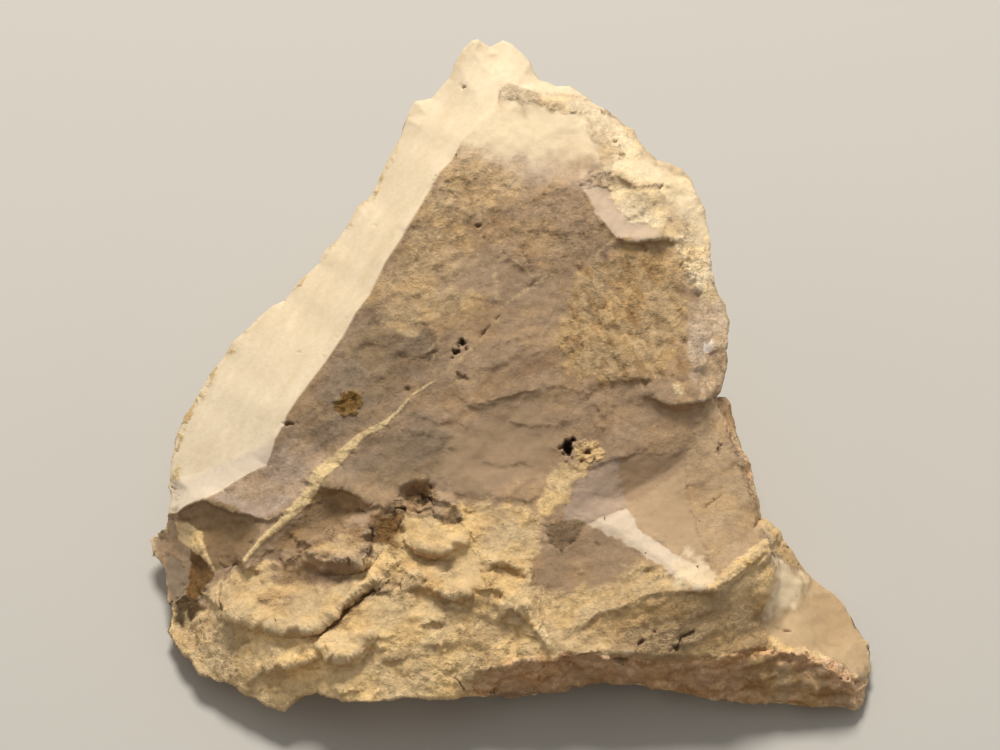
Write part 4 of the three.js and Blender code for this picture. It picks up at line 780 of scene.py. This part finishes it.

# Cracks, the lips of flakes, pits, the vein and its threads. Cracks and pits get painted shade, darker the
# deeper they are.
fine_wobble = 0.22 * np.stack([wavy(0.7, 0.7, 0, seed, 2) for seed in (61, 63)], axis=1)
dark = np.zeros(len(points))
wander = 0.12 * wavy(0.8, 0.8, 0, 51, 1)
broken = ramp(wavy(1.2, 1.2, 0, 53, 1), -0.3, 0.15)
for width, depth, line in CRACKS:
    away = from_line(places, line)[0]
    cut = broken * (1 - ramp(np.abs(away + wander * (away < 1)), 0, width * 0.55))
    shift -= depth * cut
    dark = np.maximum(dark, 0.6 * cut * min(1, depth * 2.5))
for height, fade, line in FLAKES:
    away, side, _ = from_line(flat + 0.5 * fine_wobble, line)
    tip_gap = np.minimum(*[np.hypot(*(flat - np.array(tip)).T) for tip in (line[0], line[-1])])
    back = (side > 0) * (1 - ramp(away, 0, fade)) + (side <= 0) * (1 - ramp(away, 0, LIP_WIDTH))
    shift += height * back * ramp(tip_gap, 0, TIP_FADE)
jagged = 1 + 0.5 * wavy(0.4, 0.4, 0, 67, 2)
open_front = ramp(towards_eye, *OPEN_FACING)
for u, v, half_u, half_v, depth in PITS:
    away = np.hypot(*((flat + fine_wobble - (u, v)) / (half_u, half_v)).T)
    hole = (1 - ramp(away * jagged, 0.45, 1.15)) * open_front
    shift -= depth * hole
    dark = np.maximum(dark, hole * min(1, depth * 1.6))
away, _, width = from_line(places, VEIN)
away_here = away + 0.13 * wavy(0.6, 0.6, 0, 71, 2)
vein = (1 - ramp(away_here, width * 0.46 - 0.07, width * 0.46 + 0.09)) * (away < VEIN_REACH)
crumbly += vein * (VEIN_CRUMB - crumbly)
shift += VEIN_HEIGHT * vein
broken = ramp(wavy(0.9, 0.9, 0, 73, 2), -0.25, 0.15)
for width, line in THREADS:
    away = from_line(places, line)[0]
    vein = np.maximum(vein, 0.5 * broken * (1 - ramp(away, width * 0.4, width * 1.3)))

# The rough back, and the whole surface moved along its normals; its foot stays on the floor.
shift *= front
rough = fractal(points * 1000 * BACK_BUMPS_PER_MM, 0.7, 2.2, 5)
shift += behind * BACK_HEIGHT * rough + relief_of(CHIPS, chips, {"rear": rear})
lifted = ramp(above_floor, *LIFT_FADE)
shift = np.clip(shift, -MAX_SHIFT, MAX_SHIFT) * lifted
moved = points + directions(mesh) * (shift / 1000)[:, None]
jostle = (crumbly * foot + 0.5 * rear) * lifted / 1000
for length, reach in JOSTLES:
    pushes = np.array([noise.noise_vector(Vector(p) * 1000 / length) for p in points])
    moved += jostle[:, None] * reach * pushes
moved[:, 2] = np.maximum(moved[:, 2], 0)
mesh.vertices.foreach_set("co", moved.astype(np.float32).ravel())
mesh.update()

# How far each place stands out from the stone round it: crests above 0, hollows below.
normals = directions(mesh).astype(float)
ends = edge_ends(mesh)
along = moved[ends[:, 1]] - moved[ends[:, 0]]
along /= np.maximum(np.linalg.norm(along, axis=1), 1e-9)[:, None]
edges_met = np.bincount(ends.ravel(), minlength=len(points))
proud = np.bincount(ends[:, 1], (normals[ends[:, 1]] * along).sum(axis=1), len(points))
proud -= np.bincount(ends[:, 0], (normals[ends[:, 0]] * along).sum(axis=1), len(points))
proud /= edges_met
for _ in range(SPREADING_PASSES):
    spread = np.bincount(ends[:, 0], proud[ends[:, 1]], len(points))
    spread += np.bincount(ends[:, 1], proud[ends[:, 0]], len(points))
    proud = 0.5 * proud + 0.5 * spread / edges_met

# Painted shade: the ledge undersides, which face down the sheet away from the lamp, and the hollows are
# darkened brown.
under = ramp(normals @ np.array(sheet_up), -0.1, -0.65)
painted_shade = np.maximum(painted_shade * 0.5, under * front * (1 - bevel))
painted_shade = np.maximum(painted_shade, 0.8 * ramp(proud, -0.05, -0.25) * (1 - bevel))
# Painted highlight: crests that stand out are lightened, as where the lamp catches edges.
crest = ramp(proud, 0.06, 0.3) * (1 - bevel) * (1 - 0.7 * wall)
layers = {"crumbly": crumbly, "dark": dark * front, "vein": vein * front, "painted_shade": painted_shade * front}
layers["crest"] = crest
for name, values in layers.items():
    mesh.attributes.new(name, "FLOAT", "POINT").data.foreach_set("value", values.astype(np.float32))
painted = np.concatenate([colour, np.ones((len(points), 1))], axis=1).astype(np.float32)
mesh.attributes.new("stone_colour", "FLOAT_COLOR", "POINT").data.foreach_set("color", painted.ravel())
bpy.ops.object.shade_smooth_by_angle(angle=SMOOTHING_ANGLE)

# Compact earthy richellite: a dull, porous mineral with no polish. The eye gets a matt surface, a
# mottled cream to ochre colour, and grain that shows more where the stone crumbles.
stone = bpy.data.materials.new("earthy_richellite")
stone.use_nodes = True
tree = stone.node_tree
tree.nodes.clear()


def node(kind, settings=None, **links):
    """Adds a node, sets its properties, and sets or links inputs by name, or by number after _."""
    made = tree.nodes.new(kind)
    for name, value in (settings or {}).items():
        setattr(made, name, value)
    for name, value in links.items():
        key = int(name[1:]) if name[0] == "_" else name.replace("_", " ")
        if isinstance(value, bpy.types.NodeSocket):
            tree.links.new(value, made.inputs[key])
        else:
            made.inputs[key].default_value = value
    return made


def layer(name, output="Fac"):
    """One of the stone's own layers, made above."""
    return node("ShaderNodeAttribute", {"attribute_name": name}).outputs[output]


def spread_out(value, low, high, at_low=0.0, at_high=1.0, kind="LINEAR"):
    """A value taken from its range low to high to another range."""
    settings = {"interpolation_type": kind}
    ranges = {"From_Min": low, "From_Max": high, "To_Min": at_low, "To_Max": at_high}
    return node("ShaderNodeMapRange", settings, Value=value, **ranges).outputs[0]


def product(first, second):
    """Two values multiplied."""
    return node("ShaderNodeMath", {"operation": "MULTIPLY"}, _0=first, _1=second).outputs[0]


def vector(operation, output=0, **links):
    """A vector worked out from others."""
    return node("ShaderNodeVectorMath", {"operation": operation}, **links).outputs[output]


def mixed(share, under, over, blend="MIX"):
    """A colour, given as hex or by a node, mixed over another by a share."""
    if isinstance(over, str):
        over = (*linear(over), 1)
    settings = {"data_type": "RGBA", "blend_type": blend}
    return node("ShaderNodeMix", settings, _0=share, _6=under, _7=over).outputs[2]


def grains(spots, per_mm, detail, roughness, output="Fac"):
    """Cloudy noise with so many grains to the millimetre."""
    sizes = {"Scale": per_mm * 1000, "Detail": detail, "Roughness": roughness}
    return node("ShaderNodeTexNoise", Vector=spots, **sizes).outputs[output]


def chipped(spots, per_mm):
    """Height of small broken chips, each with a tilt of its own, in chip widths."""
    spots = vector("SCALE", _0=spots, _3=per_mm * 1000)
    cells = node("ShaderNodeTexVoronoi", Vector=spots, Scale=1.0, Randomness=1.0)
    offset = vector("SUBTRACT", _0=spots, _1=cells.outputs["Position"])
    tilt = vector("SUBTRACT", _0=cells.outputs["Color"], _1=(0.5, 0.5, 0.5))
    return vector("DOT_PRODUCT", "Value", _0=offset, _1=tilt)


# Grains of each pattern to the millimetre, and how far the chips are bent, in metres.
WARP_REACH = 0.0012
FLAKES_PER_MM = 0.9
CRUMBS_PER_MM = 2.3
STREAKS_PER_MM = 1.6
BLOTCHES_PER_MM = 0.26
SPECKS_PER_MM = 1.5
GRIT_PER_MM = 3.8
PORES_PER_MM = 1.1
where = node("ShaderNodeTexCoord").outputs["Object"]
crumb = layer("crumbly")
warp = vector("SUBTRACT", _0=grains(where, FLAKES_PER_MM, 2, 0.5, "Color"), _1=(0.5, 0.5, 0.5))
warped = vector("MULTIPLY_ADD", _0=warp, _1=(WARP_REACH, WARP_REACH, WARP_REACH), _2=where)
flake = chipped(warped, FLAKES_PER_MM)
crumbs = chipped(warped, CRUMBS_PER_MM)
slant = {"Rotation": (0.0, math.radians(-10), 0.0), "Scale": (0.5, 1.0, 1.0)}
streak = grains(node("ShaderNodeMapping", Vector=where, **slant).outputs[0], STREAKS_PER_MM, 3, 0.6)
blotch = grains(where, BLOTCHES_PER_MM, 4, 0.6)
speck = grains(where, SPECKS_PER_MM, 3, 0.65)
grit = grains(where, GRIT_PER_MM, 2, 0.6)
cells = node("ShaderNodeTexVoronoi", Vector=where, Scale=PORES_PER_MM * 1000, Randomness=1.0)
pores = cells.outputs["Distance"]

# Ochre blotches, mottling, painted shade in the hollows and under ledges, painted highlights on crests,
# grime and pores, then vein, and cracks and pits with painted shade.
blotched = product(spread_out(blotch, 0.47, 0.62, kind="SMOOTHSTEP"), spread_out(crumb, 0.1, 1.0, 0.0, 0.55))
tint = mixed(blotched, layer("stone_colour", "Color"), OCHRE_MOTTLE, "MULTIPLY")
mottle = spread_out(speck, 0.25, 0.75, 0.78, 1.18)
tint = mixed(spread_out(crumb, 0.0, 0.4, 0.2, 1.0), tint, mottle, "MULTIPLY")
# Painted shade in the hollows and under the ledges.
tint = mixed(product(layer("painted_shade"), 0.6), tint, PAINTED_SHADE_COLOUR, "MULTIPLY")
# Painted highlight on the crests.
tint = mixed(product(layer("crest"), 0.3), tint, CREST_HIGHLIGHT_COLOUR)
grime = product(spread_out(speck, 0.46, 0.36, kind="SMOOTHSTEP"), spread_out(crumb, 0.7, 1.0, 0.0, 0.55))
tint = mixed(grime, tint, GRIME_COLOUR, "MULTIPLY")
pored = product(spread_out(pores, 0.0, 0.22, 1.0, 0.0, "SMOOTHSTEP"), spread_out(crumb, 0.45, 1.0, 0.0, 0.5))
tint = mixed(pored, tint, PORE_COLOUR, "MULTIPLY")
tint = mixed(layer("vein"), tint, VEIN_COLOUR)
# Painted shade in cracks and pits.
tint = mixed(layer("dark"), tint, CRACK_AND_PIT_SHADE_COLOUR)

# Grain: each pattern, its height in mm on smooth stone and on crumbly stone.
GRAIN = [
    (speck, 0.015, 0.26),
    (grit, 0.01, 0.16),
    (streak, 0.012, 0.08),
    (flake, 0.012, 0.46),
    (crumbs, 0.012, 0.3),
]
total = 0.0
for pattern, smooth_height, crumbly_height in GRAIN:
    size = spread_out(crumb, 0.1, 0.8, smooth_height, crumbly_height)
    total = node("ShaderNodeMath", {"operation": "MULTIPLY_ADD"}, _0=pattern, _1=size, _2=total).outputs[0]
relief = node("ShaderNodeBump", Strength=1.0, Distance=0.001, Height=total).outputs["Normal"]
matt = spread_out(speck, 0.2, 0.8, 0.82, 0.97)
body = node("ShaderNodeBsdfPrincipled", Base_Color=tint, Roughness=matt, IOR=1.5, Normal=relief)
body.inputs["Specular IOR Level"].default_value = 0.3
node("ShaderNodeOutputMaterial", Surface=body.outputs[0])
mesh.materials.append(stone)

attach(lump, "root")
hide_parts("stone")


# Studio. A plain pale floor under the stone, one large soft lamp above and behind, pale walls.
FLOOR_COLOUR = "#bfbebb"
FLOOR_SIZE = 3
LAMP_TOWARDS = Vector((-0.04, 0.50, 0.865))
LAMP_DISTANCE = 0.6
LAMP_SIZE = 0.2
LAMP_POWER = 3.7
LAMP_LIGHT = (1.0, 0.93, 0.82)
WALL_LIGHT = (1.0, 0.96, 0.9, 1)
WALL_STRENGTH = 0.36

bpy.ops.mesh.primitive_plane_add(size=FLOOR_SIZE, location=(0, 0, 0))
floor = bpy.context.object
floor.name = "floor"
paper = bpy.data.materials.new("pale_paper")
paper.use_nodes = True
sheet = paper.node_tree.nodes["Principled BSDF"]
sheet.inputs["Base Color"].default_value = (*linear(FLOOR_COLOUR), 1)
sheet.inputs["Roughness"].default_value = 0.9
floor.data.materials.append(paper)

lamp_place = sheet_centre / 1000 + LAMP_TOWARDS.normalized() * LAMP_DISTANCE
bpy.ops.object.light_add(type="AREA", location=lamp_place)
lamp = bpy.context.object
lamp.name = "soft_lamp"
lamp.data.shape = "DISK"
lamp.data.size = LAMP_SIZE
lamp.data.energy = LAMP_POWER
lamp.data.color = LAMP_LIGHT
lamp.rotation_mode = "QUATERNION"
lamp.rotation_quaternion = LAMP_TOWARDS.to_track_quat("Z", "Y")

world = bpy.data.worlds.new("pale_walls")
bpy.context.scene.world = world
world.use_nodes = True
walls = world.node_tree.nodes["Background"]
walls.inputs["Color"].default_value = WALL_LIGHT
walls.inputs["Strength"].default_value = WALL_STRENGTH
bpy.context.scene.view_settings.view_transform = "Standard"
